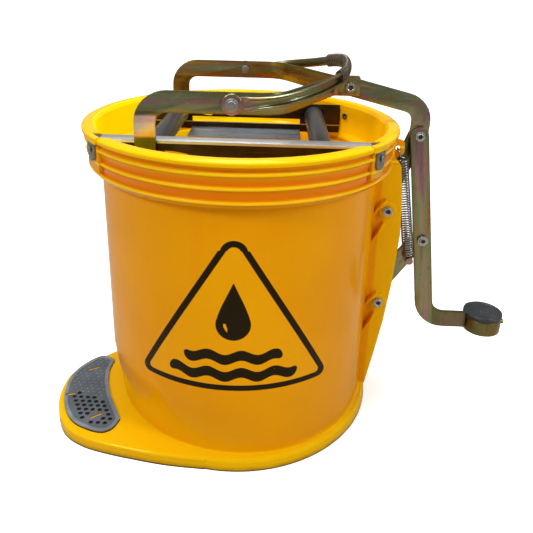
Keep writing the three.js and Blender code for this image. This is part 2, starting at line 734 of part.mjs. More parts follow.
function makeUpperArm() {
  const slope = 0.25;
  const start = [CLAMP_X - 11, ARM_Z - 0.5 + 11 * slope];
  const cornerX = TOP_PIN[0] + 1;
  const corner = [cornerX, ARM_Z - 0.5 - (cornerX - CLAMP_X) * slope];
  const path = rounded([start, corner, TOP_PIN], ARM_BEND_R);
  const bar = plateY(strip(path, HALF_W, false, true), -MID_BACK, MID_BACK);
  return cut(bar, [
    rodY(PIN_R + GAP, [CLAMP_X, ARM_Z - 0.5], -9, 9),
    rodY(PIN_R + PIN_FREE, TOP_PIN, -9, 9),
  ]);
}

add("upper_arm", makeUpperArm(), ZINC);

// A bolt along Y with a domed socket head at the front and a nut at the back.
function bolt(centre, y0, y1, headR = 5.2) {
  const crown = rodY(headR * 0.8, centre, y0 - 3.6, y0 - 2.5);
  const socket = rodY(SOCKET_R, centre, y0 - 4, y0 - 1.6, 6);
  const head = rodY(headR, centre, y0 - 2.6, y0).add(crown).subtract(socket);
  const shank = rodY(PIN_R, centre, y0 - 0.5, y1 + 3.4);
  const nut = new THREE.CylinderGeometry(headR + 0.8, headR + 0.8, 3.2, 6);
  nut.translate(centre[0], y1 + 1.6, centre[1]);
  return union([head, shank, solid(nut)]);
}

add("arm_clamp_bolt", bolt([CLAMP_X, ARM_Z - 0.5], LEVER_Y[0] - GAP, LINK_Y[1] + GAP), BRIGHT);

// --- bail handle ---------------------------------------------------------------------------

const BAIL_FRONT = FRONT_ARM_Y[0] - 0.6 - BAIL_T / 2;
const BAIL_BACK = REAR_ARM_Y[1] + 0.6 + BAIL_T / 2;

function bailRoute() {
  const lift = BAIL_LIFT + HALF_W;
  const knots = [
    [BAIL_X, BAIL_FRONT, ARM_Z], [BAIL_X + 20, BAIL_FRONT, ARM_Z + 1], [ELBOW_X + 6, BAIL_FRONT, ARM_Z + 6],
    [BAIL_APEX_X - 26, BAIL_FRONT + 29.1, ARM_Z + lift * 0.55],
    [BAIL_APEX_X - 6, BAIL_FRONT + 61.1, ARM_Z + lift * 0.85], [BAIL_APEX_X, -5, ARM_Z + lift],
    [BAIL_APEX_X - 6, BAIL_BACK - 58.6, ARM_Z + lift * 0.85],
    [BAIL_APEX_X - 26, BAIL_BACK - 26.6, ARM_Z + lift * 0.55], [ELBOW_X + 6, BAIL_BACK, ARM_Z + 6],
    [BAIL_X + 20, BAIL_BACK, ARM_Z + 1], [BAIL_X, BAIL_BACK, ARM_Z],
  ];
  return new THREE.CatmullRomCurve3(knots.map((p) => new THREE.Vector3(...p)), false, "centripetal");
}

// Lengths of strip along the route, as a band that stands on edge.
function bailBand(route, from, to, steps, height, thick) {
  const slices = [];
  for (let i = 0; i <= steps; i++) {
    const u = from + ((to - from) * i) / steps;
    const p = route.getPointAt(u);
    const t = route.getTangentAt(u);
    const side = new THREE.Vector3(-t.y, t.x, 0).normalize();
    const up = new THREE.Vector3().crossVectors(t, side).normalize();
    if (up.z < 0) up.negate();
    slices.push({ p, side, up });
  }
  return solid(loft(slices, roundSection(height / 2, thick / 2)));
}

function roundSection(a, b) {
  const n = 8;
  return Array.from({ length: n }, (_, i) => {
    const w = ((i + 0.5) / n) * 2 * Math.PI;
    const c = Math.cos(w);
    const s = Math.sin(w);
    return [a * Math.sign(c) * Math.abs(c) ** 0.6, b * Math.sign(s) * Math.abs(s) ** 0.6];
  });
}

function loft(slices, section) {
  const n = section.length;
  const positions = [];
  for (const { p, side, up } of slices) {
    for (const [a, b] of section) {
      const q = p.clone().addScaledVector(up, a).addScaledVector(side, b);
      positions.push(q.x, q.y, q.z);
    }
  }
  const index = [];
  for (let i = 0; i < slices.length - 1; i++) {
    for (let j = 0; j < n; j++) {
      const a = i * n + j;
      const b = i * n + ((j + 1) % n);
      index.push(a, b, a + n, b, b + n, a + n);
    }
  }
  const last = (slices.length - 1) * n;
  for (let j = 1; j < n - 1; j++) {
    index.push(0, j + 1, j, last, last + j, last + j + 1);
  }
  const geometry = new THREE.BufferGeometry();
  geometry.setAttribute("position", new THREE.BufferAttribute(new Float32Array(positions), 3));
  geometry.setIndex(index);
  const inside = signedVolume(geometry) < 0;
  return inside ? flipped(geometry) : geometry;
}

function signedVolume(geometry) {
  const p = geometry.attributes.position;
  const index = geometry.index.array;
  let sum = 0;
  const [a, b, c] = [new THREE.Vector3(), new THREE.Vector3(), new THREE.Vector3()];
  for (let i = 0; i < index.length; i += 3) {
    a.fromBufferAttribute(p, index[i]);
    b.fromBufferAttribute(p, index[i + 1]);
    c.fromBufferAttribute(p, index[i + 2]);
    sum += a.dot(b.cross(c)) / 6;
  }
  return sum;
}

const GRIP = [0.36, 0.64];

function makeBail() {
  const route = bailRoute();
  const band = bailBand(route, 0, 1, 44, BAIL_W, BAIL_T);
  const eyes = [BAIL_FRONT, BAIL_BACK].map((y) =>
    rodY(HALF_W, [BAIL_X, ARM_Z], y - BAIL_T / 2, y + BAIL_T / 2),
  );
  return cut(union([band, ...eyes]), [
    rodY(PIN_R + PIN_FREE, [BAIL_X, ARM_Z], BAIL_FRONT - 9, BAIL_FRONT + 9),
    rodY(PIN_R + PIN_FREE, [BAIL_X, ARM_Z], BAIL_BACK - 9, BAIL_BACK + 9),
  ]);
}

function makeGrip() {
  const route = bailRoute();
  const outer = bailBand(route, GRIP[0], GRIP[1], 20, BAIL_W + 5, BAIL_T + 5);
  const inner = bailBand(route, GRIP[0] - 0.05, GRIP[1] + 0.05, 26, BAIL_W + 0.8, BAIL_T + 0.8);
  return outer.subtract(inner);
}

add("bail_handle", makeBail(), ZINC);
add("bail_grip", makeGrip(), GREY);

function bailRivet(yOut, yIn) {
  const sign = Math.sign(yIn - yOut);
  const lengthOf = (r, from, to) => rodY(r, [BAIL_X, ARM_Z], Math.min(from, to), Math.max(from, to));
  const headTop = yOut - sign * 2.4;
  const shank = lengthOf(PIN_R, yOut, yIn);
  const head = lengthOf(6, yOut, headTop);
  const crown = lengthOf(4, headTop, headTop - sign * 1.4);
  const tail = lengthOf(4.6, yIn, yIn + sign * 1.6);
  return union([shank, head, crown, tail]);
}

add("bail_rivet_front", bailRivet(BAIL_FRONT - BAIL_T / 2 - GAP, FRONT_ARM_Y[1] + 0.2), BRIGHT);
add("bail_rivet_rear", bailRivet(BAIL_BACK + BAIL_T / 2 + GAP, REAR_ARM_Y[0] - 0.2), BRIGHT);

// --- pedal lever ---------------------------------------------------------------------------------

function makeLever() {
  const slope = (MID_PIN[0] - TOP_PIN[0]) / (TOP_PIN[1] - MID_PIN[1]);
  const corner = [TOP_PIN[0] + (TOP_PIN[1] - LEVER_FOOT_Z) * slope, LEVER_FOOT_Z];
  const end = [CUP_X - CUP_R + 2, LEVER_FOOT_Z];
  const path = rounded([TOP_PIN, corner, end], LEVER_BEND_R);
  const bar = plateY(strip(path, HALF_W, true, false), ...LEVER_Y);
  const cupRoom = discZ(CUP_R + PAD_LIP + GAP, [CUP_X, 0], 0, 200, 48);
  return cut(bar, [
    cupRoom,
    rodY(PIN_R + PIN_FREE, TOP_PIN, -20, 20),
    rodY(PIN_R + GAP, MID_PIN, -20, 20),
  ]);
}

function makeCup() {
  const outer = discZ(CUP_R, [CUP_X, 0], CUP_LOW, CUP_HIGH, 40);
  const inner = discZ(CUP_R - CUP_WALL, [CUP_X, 0], CUP_LOW - 1, CUP_HIGH - CUP_WALL, 40);
  const nose = new THREE.CylinderGeometry(2.6, 2.6, 5, 16);
  nose.rotateZ(Math.PI / 2);
  nose.translate(CUP_X + CUP_R + 1.4, 0, CUP_LOW + 9);
  return outer.subtract(inner).add(solid(nose));
}

add("pedal_lever", makeLever(), ZINC);
add("pedal_cup", makeCup(), ZINC);
add("pedal_pad", discZ(CUP_R + PAD_LIP, [CUP_X, 0], CUP_HIGH + GAP, CUP_HIGH + GAP + PEDAL_PAD_T, 40), BLACK);

// --- links and pins ----------------------------------------------------------------------------------

const MID_EYE = PIN_R + 1.6; // roomy eye: the linkage is opened here

function makeLink(from, to, fromEye, toEye) {
  const bar = plateY(strip([from, to], HALF_W), ...LINK_Y);
  return cut(bar, [rodY(fromEye, from, 0, 20), rodY(toEye, to, 0, 20)]);
}

add("upper_link", makeLink(UPPER_PIVOT, TOP_PIN, PIN_R + PIN_FREE, PIN_R + GAP), ZINC);

const SPRING_PIN = between(LOWER_PIVOT, MID_PIN, SPRING_PIN_AT);
const lowerLink = makeLink(LOWER_PIVOT, MID_PIN, PIN_R + PIN_FREE, MID_EYE);
add("lower_link", lowerLink.subtract(rodY(2.8 + GAP, SPRING_PIN, 0, 20)), ZINC);

// A headed pin along Y that holds plates between a front head and a back one.
function rivet(centre, y0, y1, headR = 5.2, shankR = PIN_R) {
  return union([
    rodY(shankR, centre, y0 - 0.5, y1 + 0.5),
    rodY(headR, centre, y0 - 2.2, y0),
    rodY(headR * 0.66, centre, y0 - 3.2, y0 - 2.1),
    rodY(headR, centre, y1, y1 + 2),
  ]);
}

add("top_pin", rivet(TOP_PIN, LEVER_Y[0] - GAP, LINK_Y[1] + GAP), BRIGHT);
add("mid_rivet", rivet(MID_PIN, LEVER_Y[0] - GAP, LINK_Y[1] + GAP, 6), BRIGHT);
add(
  "spring_pin",
  union([
    rodY(2.8, SPRING_PIN, LUG_Y - 4, LINK_Y[1] + 0.8),
    rodY(4.2, SPRING_PIN, LUG_Y - 6, LUG_Y - 3.8),
    rodY(4.2, SPRING_PIN, LINK_Y[1] + GAP, LINK_Y[1] + GAP + 2),
    rodY(4.2, SPRING_PIN, LINK_Y[0] - GAP - 1.5, LINK_Y[0] - GAP),
  ]),
  ZINC,
);

function pivotBolt(centre) {
  return bolt(centre, -RIB_HALF - BOSS_T - GAP, RIB_HALF + BOSS_T + GAP, 5.4);
}

function spacer(centre, y0, y1) {
  return rodY(PIN_R + 3, centre, y0, y1).subtract(rodY(PIN_R + GAP, centre, y0 - 1, y1 + 1));
}

const RIB_INSIDE = RIB_HALF - RIB_WALL - GAP;
const FRONT_SPACER_Y = [-RIB_INSIDE, LINK_Y[0] - PLATE_GAP];
const REAR_SPACER_Y = [LINK_Y[1] + PLATE_GAP, RIB_INSIDE];

add("upper_pivot_bolt", pivotBolt(UPPER_PIVOT), BRIGHT);
add("lower_pivot_bolt", pivotBolt(LOWER_PIVOT), BRIGHT);
add("upper_spacer_front", spacer(UPPER_PIVOT, ...FRONT_SPACER_Y), BRIGHT);
add("upper_spacer_rear", spacer(UPPER_PIVOT, ...REAR_SPACER_Y), BRIGHT);
add("lower_spacer_front", spacer(LOWER_PIVOT, ...FRONT_SPACER_Y), BRIGHT);
add("lower_spacer_rear", spacer(LOWER_PIVOT, ...REAR_SPACER_Y), BRIGHT);

// --- return spring -----------------------------------------------------------------------------------

function makeSpring() {
  const direction = new THREE.Vector2(SPRING_PIN[0] - SPRING_TOP[0], SPRING_PIN[1] - SPRING_TOP[1]);
  const length = direction.length() - SPRING_LOW_GAP;
  const tilt = Math.atan2(direction.x, -direction.y);
  const coil = new THREE.CylinderGeometry(SPRING_R, SPRING_R, length, 16);
  coil.rotateX(Math.PI / 2);
  coil.translate(0, 0, -length / 2);
  coil.rotateY(-tilt);
  coil.translate(SPRING_TOP[0], LUG_Y, SPRING_TOP[1]);
  const unit = direction.clone().normalize();
  const topHook = wire([
    [SPRING_TOP[0], LUG_Y, SPRING_TOP[1] - 2],
    [SPRING_TOP[0] - 1, LUG_Y - 3.5, SPRING_TOP[1] + 5],
    [LUG_HOLE[0] + 1, LUG_Y - 3.6, LUG_HOLE[1] - 2],
    [LUG_HOLE[0], LUG_Y, LUG_HOLE[1] - 0.2],
  ]);
  const foot = new THREE.Vector2(...SPRING_PIN).addScaledVector(unit, -SPRING_LOW_GAP);
  const lowHook = wire([
    [foot.x, LUG_Y, foot.y + 2],
    [foot.x - 2.6, LUG_Y, foot.y - 2],
    [SPRING_PIN[0] - 4.7, LUG_Y, SPRING_PIN[1] + 0.3],
    [SPRING_PIN[0] - 2.4, LUG_Y, SPRING_PIN[1] - 4.6],
  ]);
  return union([solid(coil), topHook, lowHook]);
}

function wire(points) {
  const path = new THREE.CatmullRomCurve3(points.map((p) => new THREE.Vector3(...p)));
  const section = shapeOf(ring([0, 0], WIRE_R, 8));
  return solid(new THREE.ExtrudeGeometry(section, { steps: 10, bevelEnabled: false, extrudePath: path }));
}

add("return_spring", makeSpring(), BRIGHT);

const mopBucket = new THREE.Group();
mopBucket.add(...parts);

export default mopBucket;
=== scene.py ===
# %% [markdown]
# # A mop bucket with a foot-pedal roller wringer
# The solid model of the bucket arrives as a fixed frame: one object for each part, in metres, with
# its place in its mesh. This lesson keeps every size from that frame and gives the bucket its looks.
# Moulded pieces are made again with rounder edges, flat steel pieces are copied and their sharp
# corners are softened, and each finish is built from nodes.

# %% Load the frame
import math

import bmesh
import bpy
from mathutils import Matrix, Vector


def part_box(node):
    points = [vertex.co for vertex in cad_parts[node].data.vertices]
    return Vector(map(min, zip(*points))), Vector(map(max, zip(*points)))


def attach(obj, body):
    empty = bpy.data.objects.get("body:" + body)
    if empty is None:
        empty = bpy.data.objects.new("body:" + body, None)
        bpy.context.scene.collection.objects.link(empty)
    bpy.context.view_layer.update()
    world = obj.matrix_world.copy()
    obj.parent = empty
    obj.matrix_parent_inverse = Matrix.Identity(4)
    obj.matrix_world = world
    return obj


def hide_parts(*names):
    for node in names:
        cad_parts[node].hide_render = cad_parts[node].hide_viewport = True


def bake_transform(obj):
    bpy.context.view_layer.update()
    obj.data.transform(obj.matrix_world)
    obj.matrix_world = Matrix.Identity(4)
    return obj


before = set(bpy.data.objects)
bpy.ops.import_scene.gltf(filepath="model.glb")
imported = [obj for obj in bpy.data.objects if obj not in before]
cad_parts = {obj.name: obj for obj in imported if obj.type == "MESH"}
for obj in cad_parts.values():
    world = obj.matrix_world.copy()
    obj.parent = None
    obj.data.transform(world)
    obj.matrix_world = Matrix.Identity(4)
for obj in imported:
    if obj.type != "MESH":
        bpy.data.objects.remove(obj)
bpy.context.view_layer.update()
print("CAD nodes:", len(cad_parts))

# %% [markdown]
# The camera stands in front of the bucket, a little to its right and above its rim, and looks down
# at it by about 18 degrees. A small shift of the lens keeps the bucket in the middle of the frame,
# which keeps upright edges straighter than tilting the camera further would.

# %% Camera
def place_camera():
    bpy.ops.object.select_all(action="DESELECT")
    bpy.ops.object.camera_add(location=(0.03575, -0.6126, 0.4647))
    camera = bpy.context.object
    camera.name = "front_camera"
    pitch, heading, roll = (math.radians(a) for a in (18.21, 2.21, 1.21))
    ahead = Vector((
        -math.sin(heading) * math.cos(pitch),
        math.cos(heading) * math.cos(pitch),
        -math.sin(pitch),
    ))
    right = ahead.cross(Vector((0, 0, 1))).normalized()
    up = right.cross(ahead)
    tilted = right * math.cos(roll) + up * math.sin(roll)
    square = tilted.cross(ahead)
    turn = Matrix((tilted, square, -ahead)).transposed()
    camera.rotation_euler = turn.to_euler()
    camera.data.lens = 39.68
    camera.data.sensor_width = 36
    camera.data.shift_x = 0.0275
    camera.data.shift_y = -0.1764
    camera.data.clip_start = 0.01
    bpy.context.scene.camera = camera
    return camera


camera = place_camera()
print("camera:", camera.name, round(camera.data.lens, 2), "mm")

# %% [markdown]
# Shader maths reads best as ordinary sums. `Reading` wraps one output of a node, so `1 - mask` or
# `stripe * 0.3` adds the Math node that works it out. `Finish` is one material: its `node` method
# adds any other node from its type, its settings and what its sockets take.

# %% Shader helpers
class Reading:
    """A node's output that can be used in sums."""

    def __init__(self, finish, socket):
        self.finish, self.socket = finish, socket

    def math(self, operation, *others, clamp=False):
        values = dict(enumerate((self, *others)))
        settings = {"operation": operation, "use_clamp": clamp}
        return self.finish.node("ShaderNodeMath", settings, values)[0]

    def __add__(self, other):
        return self.math("ADD", other)

    def __sub__(self, other):
        return self.math("SUBTRACT", other)

    def __rsub__(self, other):
        return (self * -1) + other

    def __mul__(self, other):
        return self.math("MULTIPLY", other)

    def __truediv__(self, other):
        return self.math("DIVIDE", other)

    def __abs__(self):
        return self.math("ABSOLUTE")

    def diagonal(self, other):
        """The length of a line that goes this far across and that far up."""
        return (self * self + other * other).math("SQRT")

    def sine(self):
        return self.math("SINE")

    def smaller(self, other):
        return self.math("MINIMUM", other)

    def larger(self, other):
        return self.math("MAXIMUM", other)

    def step(self, low, high):
        """0 below low, 1 above high and a smooth rise between them."""
        inputs = {"Value": self, "From Min": low, "From Max": high, "To Min": 0.0, "To Max": 1.0}
        made = self.finish.node("ShaderNodeMapRange", {"interpolation_type": "SMOOTHSTEP"}, inputs)
        return made["Result"]

    def fall(self, low, high):
        """1 below low, 0 above high and a smooth fall between them."""
        return 1 - self.step(low, high)

    __radd__ = __add__
    __rmul__ = __mul__


class Finish:
    """One material, built from nodes."""

    def __init__(self, name, **shader):
        self.material = bpy.data.materials.new(name)
        self.material.use_nodes = True
        self.tree = self.material.node_tree
        self.tree.nodes.clear()
        self.shader = self.tree.nodes.new("ShaderNodeBsdfPrincipled")
        output = self.tree.nodes.new("ShaderNodeOutputMaterial")
        self.tree.links.new(self.shader.outputs["BSDF"], output.inputs["Surface"])
        for socket, value in shader.items():
            self.shader.inputs[socket.replace("_", " ")].default_value = value

    def fill(self, socket, value):
        if isinstance(value, Reading):
            self.tree.links.new(value.socket, socket)
        elif isinstance(value, tuple) and socket.type == "RGBA":
            socket.default_value = (*value[:3], 1.0)
        else:
            socket.default_value = value

    def node(self, kind, settings=None, inputs=None):
        made = self.tree.nodes.new(kind)
        for name, value in (settings or {}).items():
            if name == "stops":
                self.set_stops(made.color_ramp, value)
            else:
                setattr(made, name, value)
        for name, value in (inputs or {}).items():
            self.fill(made.inputs[name], value)
        readings = {output.name: Reading(self, output) for output in made.outputs}
        readings.update({i: Reading(self, output) for i, output in enumerate(made.outputs)})
        return readings

    def set_stops(self, ramp, stops):
        while len(ramp.elements) < len(stops):
            ramp.elements.new(0.5)
        for element, (place, colour) in zip(ramp.elements, stops):
            element.position = place
            element.color = (*colour, 1.0)

    def mix(self, share, first, second):
        """A colour between two colours."""
        return self.node("ShaderNodeMix", {"data_type": "RGBA"}, {0: share, 6: first, 7: second})[2]

    def place(self):
        return self.node("ShaderNodeTexCoord")["Object"]

    def split(self, vector):
        made = self.node("ShaderNodeSeparateXYZ", None, {"Vector": vector})
        return made["X"], made["Y"], made["Z"]

    def stretch(self, vector, scale, location=(0.0, 0.0, 0.0)):
        inputs = {"Vector": vector, "Scale": scale, "Location": location}
        return self.node("ShaderNodeMapping", None, inputs)["Vector"]

    def noise(self, vector, scale, detail=3.0, roughness=0.5):
        inputs = {"Vector": vector, "Scale": scale, "Detail": detail, "Roughness": roughness}
        return self.node("ShaderNodeTexNoise", None, inputs)["Fac"]

    def bump(self, height, distance, strength):
        inputs = {"Height": height, "Distance": distance, "Strength": strength}
        return self.node("ShaderNodeBump", None, inputs)["Normal"]

    def wear(self, **sockets):
        """Links what changes over the surface to the shader."""
        for name, value in sockets.items():
            self.fill(self.shader.inputs[name.replace("_", " ")], value)
        return self.material


print("shader helpers ready")

# %% [markdown]
# The bucket is injection-moulded polypropylene, glossy and slightly see-through at its skin. Its
# colour is a warm orange-yellow, with painted shade that turns the grooves under the beads a deeper
# orange, and years of mopping leave fine scuffs that are a little rougher than the rest. A printed
# triangle on the front warns of wet floors. The print is worked out from each point's angle round
# the bucket and its height, so it wraps round the wall. Its design here is a plain drop over two
# wavy bars. The crests of the beads carry a painted highlight; the lip top, the skirt and platform
# below 14.5 mm, the rib and the inside are painted lighter; the low wall over the platform has a
# painted reflection of it; a painted glow lights the inside near its mouth; the foot is darker and
# rougher in noisy patches, and ends in a painted near-black line of contact shadow.

# %% Moulded yellow
INK_EDGE = 0.35
PRINT_TURN, PRINT_R = math.radians(88.6), 146
CORNER_R, APEX_R, APEX_Z, BORDER_HALF = 9, 9.6, 235.4, 3.1
INNER_SKIN, WALL_SKIN, MOUTH_SKIN, BEAD_SKIN = 144.2, 149.5, 154.0, 160.2
BEADS_LOW, BEADS_HIGH, LIP_LOW = 283, 316, 319
BEAD_CRESTS = (313.2, 300.5, 287.3)


def printed_triangle(finish, x, y, z):
    """1 on the printed ink, and 1 inside the triangle's pale field."""
    turn = y.math("ARCTAN2", x) + PRINT_TURN
    side = turn * PRINT_R
    height = z * 1000
    across = abs(side)
    slope = across * 0.8572 + height * 0.515 - 131.5
    floor = 93.5 - height
    beyond_side, beyond_floor = slope + CORNER_R, floor + CORNER_R
    corner = beyond_side.larger(0).diagonal(beyond_floor.larger(0))
    edge = corner + beyond_side.larger(beyond_floor).smaller(0) - CORNER_R
    above = (height - 238).step(0.0, 0.2)
    top = across.diagonal((height - APEX_Z).larger(0)) - APEX_R
    border = edge * (1 - above) + edge.larger(top) * above
    outline = (abs(border) - BORDER_HALF).fall(-INK_EDGE, INK_EDGE)
    field = border.fall(-INK_EDGE, INK_EDGE)
    front = abs(turn).fall(1.0, 1.01)
    ink = outline.larger(drop_mark(side, height)).larger(wavy_bars(side, height))
    return ink * front, field * front


def drop_mark(side, height):
    """A drop: a round foot that narrows to a tip."""
    low, radius = 163.0, 16.5
    foot = side.diagonal(height - low) - radius
    rise = ((height - low) / 44).larger(0).smaller(1)
    width = (1 - rise) * (1 - rise * rise * 0.55 + rise * 0.62) * radius
    taper = (abs(side) - width).larger(low - height).larger(height - low - 43)
    shape = foot.smaller(taper).fall(-INK_EDGE, INK_EDGE)
    far = (side - 2.5).diagonal(height - low - 1)
    ring = (abs(far - 10.5) - 1.3).fall(-0.3, 0.3)
    glint = ring * (side + 5.5).fall(-0.4, 0.4) * (height - low - 1).fall(-0.4, 0.4)
    return shape * (1 - glint)


def wavy_bars(side, height):
    """Two bars of water, the lower one longer."""
    marks = None
    for level, half, thick in ((127.5, 48.0, 5.6), (108.5, 64.0, 5.6)):
        wave = (side * (2 * math.pi / 32)).sine() * 2.6 + level
        reach = (abs(side) - half + thick).larger(0).diagonal(height - wave) - thick
        mark = reach.fall(-INK_EDGE, INK_EDGE)
        marks = mark if marks is None else marks.larger(mark)
    return marks


def moulded_yellow(name, printed=False):
    finish = Finish(
        name,
        IOR=1.3,
        Specular_Tint=(1.0, 0.62, 0.08, 1.0),
        Subsurface_Weight=0.06,
        Subsurface_Radius=(0.006, 0.003, 0.001),
        Subsurface_Scale=0.5,
        Coat_Roughness=0.06,
    )
    place = finish.place()
    x, y, z = finish.split(place)
    radius = x.diagonal(y) * 1000
    height = z * 1000
    cloud = finish.noise(place, 9.0, 3.0)
    flow = finish.noise(finish.stretch(place, (30.0, 30.0, 3.0)), 1.0, 4.0)
    colour = finish.mix(cloud.step(0.35, 0.7), (0.84, 0.335, 0.001), (0.88, 0.365, 0.001))
    colour = finish.mix(flow.step(0.45, 0.75) * 0.25, colour, (0.80, 0.28, 0.001))
    # painted reflection: the leaned-in wall below 78 mm is mixed towards the bright platform's yellow
    platform_reflection = (radius - INNER_SKIN).fall(-4.0, 0.3) * (height - 78).fall(-6.0, 4.0)
    colour = finish.mix(platform_reflection * 0.5, colour, (0.94, 0.52, 0.002))
    # painted light: the lip top, everything below 14.5 mm, the rib, the inner lip and the inside wall are
    # mixed towards a pale yellow
    painted_rib_light = (x * 1000 - WALL_SKIN).step(0.0, 3.0) * (height - BEADS_LOW).fall(0.0, 3.0) * 0.75
    bright = (height - LIP_LOW).step(0.0, 2.0).larger((height - 14.5).fall(-1.0, 1.5)).larger(painted_rib_light)
    painted_mouth_light = (radius - MOUTH_SKIN).fall(-0.5, 0.5) * (height - 281).step(0.0, 3.0)
    inside = ((radius - INNER_SKIN).fall(-0.3, 0.3) * (height - 90).step(0.0, 5.0)).larger(painted_mouth_light)
    colour = finish.mix(bright.larger(inside) * 0.85, colour, (0.95, 0.56, 0.002))
    # painted shade: the recessed faces under each bead are mixed towards a deeper orange
    groove_shade = (height - BEADS_LOW).step(0.0, 4.0) * (height - BEADS_HIGH).fall(0.0, 3.0)
    under_bead = (radius - BEAD_SKIN).fall(-0.6, 1.2)
    outside = (radius - 155).step(0.0, 1.0)
    colour = finish.mix(groove_shade * under_bead * outside * 0.85, colour, (0.84, 0.215, 0.001))
    # painted highlight: a pale yellow line along each bead's crest
    for bead in BEAD_CRESTS:
        crest_highlight = (abs(height - bead) - 0.7).fall(0.0, 1.1) * outside
        colour = finish.mix(crest_highlight * 0.9, colour, (1.0, 0.66, 0.012))
    scuffs = finish.noise(finish.stretch(place, (220.0, 220.0, 35.0)), 1.0, 5.0, 0.65)
    scuffed = scuffs.step(0.6, 0.78)
    # darker and rougher in noisy patches in the lowest 7 mm
    near_floor_dark = (height - 2).fall(0.0, 5.0) * finish.noise(place, 60.0, 4.0)
    colour = finish.mix(scuffed * 0.12, colour, (0.95, 0.62, 0.12))
    colour = finish.mix(near_floor_dark * 0.75, colour, (0.16, 0.07, 0.01))
    # painted contact shadow: a near-black line along the bottom 2 mm of the bucket
    colour = finish.mix((height - 1.3).fall(0.0, 0.9) * 0.9, colour, (0.03, 0.018, 0.006))
    # painted glow: the inside wall above about 215 mm emits yellow light, stronger on the left
    lit_side = finish.mix((x * 1000).step(-90.0, 60.0), (0.36, 0.34, 0.0), (0.22, 0.09, 0.0))
    painted_inner_glow = finish.mix(inside * (height - 215).step(0.0, 80.0), (0.0, 0.0, 0.0), lit_side)
    roughness = finish.noise(place, 140.0, 3.0) * 0.05 + 0.14 + scuffed * 0.16 + near_floor_dark * 0.2
    coat = 0.03 - scuffed * 0.02
    if printed:
        ink, field = printed_triangle(finish, x, y, z)
        wall = (radius - WALL_SKIN).fall(-0.5, 0.5)
        skin = (radius - 144.4).step(-0.6, 0.2)
        colour = finish.mix(field * wall * skin * 0.5, colour, (0.93, 0.43, 0.002))
        kept = 1 - finish.noise(place, 420.0, 3.0).step(0.73, 0.8) * 0.8
        colour = finish.mix(ink * wall * skin * kept, colour, (0.004, 0.004, 0.004))
    skin_bump = finish.noise(place, 900.0, 2.0) * 0.5 + finish.noise(place, 70.0, 2.0)
    normal = finish.bump(skin_bump, 0.0003, 0.22)
    finish.shader.inputs["Emission Strength"].default_value = 1.0
    return finish.wear(
        Base_Color=colour, Roughness=roughness, Coat_Weight=coat,
        Normal=normal, Emission_Color=painted_inner_glow)


yellow_printed = moulded_yellow("moulded_yellow_printed", printed=True)
yellow = moulded_yellow("moulded_yellow")
print("finishes:", yellow_printed.name, yellow.name)

# %% [markdown]
# The flat bars are mild steel that is zinc plated and then dipped in a yellow chromate bath. The
# film is thin enough to show interference colours, which drift along each bar from olive green
# through gold to mauve. A slow noise chooses the colour, a fine one stretched along the bar gives
# the rolling marks under the plating, and the film is browner where it pools and darker along the
# bar's edges. The front arm has one painted highlight, a pale pink patch where its left end turns
# down. Bolts, rivets and the spring are plain bright zinc.

# %% Plated steels
ARM_Z = 361.5


def passivated_zinc(name, grain, drift=0.0, warm=0.0, from_middle=None, painted_bend_highlight=False):
    """Yellow chromate over brushed zinc. grain stretches the rolling marks along the bar.

    from_middle gives the distance in millimetres from the bar's middle line, and
    painted_bend_highlight adds a painted highlight: the pale pink patch at the left end of the front arm.
    """
    finish = Finish(name, Metallic=1.0, Specular_IOR_Level=0.5)
    place = finish.place()
    x, _, z = finish.split(place)
    x, z = x * 1000, z * 1000
    film = finish.noise(finish.stretch(place, (9.0, 9.0, 9.0), location=(drift, 0.3, drift)), 1.0, 2.0)
    ripple = finish.noise(finish.stretch(place, tuple(g * 0.25 for g in grain)), 1.0, 3.0)
    thickness = film * 0.72 + ripple * 0.34 + warm - 0.03
    if from_middle:
        thickness = thickness + from_middle(x, z).fall(2.0, 7.5) * 0.13 - 0.05
    stops = [
        (0.28, (0.42, 0.27, 0.035)),
        (0.38, (0.34, 0.155, 0.065)),
        (0.46, (0.27, 0.235, 0.095)),
        (0.52, (0.215, 0.255, 0.145)),
        (0.57, (0.29, 0.275, 0.160)),
        (0.63, (0.36, 0.205, 0.215)),
        (0.72, (0.41, 0.250, 0.280)),
        (0.84, (0.25, 0.245, 0.150)),
    ]
    colour = finish.node("ShaderNodeValToRGB", {"stops": stops}, {"Fac": thickness})["Color"]
    marks = finish.noise(finish.stretch(place, grain), 1.0, 5.0, 0.7)
    colour = finish.mix(marks.step(0.45, 0.75) * 0.3, colour, (0.40, 0.34, 0.19))
    pools = finish.noise(place, 130.0, 4.0, 0.6).step(0.56, 0.72)
    colour = finish.mix(pools * 0.3, colour, (0.09, 0.05, 0.02))
    if from_middle:
        border = from_middle(x, z).step(8.0, 9.6)
        colour = finish.mix(border * 0.55, colour, (0.085, 0.075, 0.02))
    # painted highlight: a pale pink patch on the down-turned left end of the front arm
    if painted_bend_highlight:
        down = (x + 69.5).fall(-1.5, 1.5) * (abs(z - 339) - 9).fall(-1.0, 2.5)
        highlight_tint = finish.mix((abs(z - 338) - 4).step(-2.0, 3.0), (0.98, 0.86, 0.70), (0.95, 0.62, 0.60))
        colour = finish.mix(down * 0.85, colour, highlight_tint)
    roughness = marks * 0.2 + 0.2 + pools * 0.14
    normal = finish.bump(marks + pools * 0.4, 0.0002, 0.35)
    return finish.wear(Base_Color=colour, Roughness=roughness, Normal=normal)


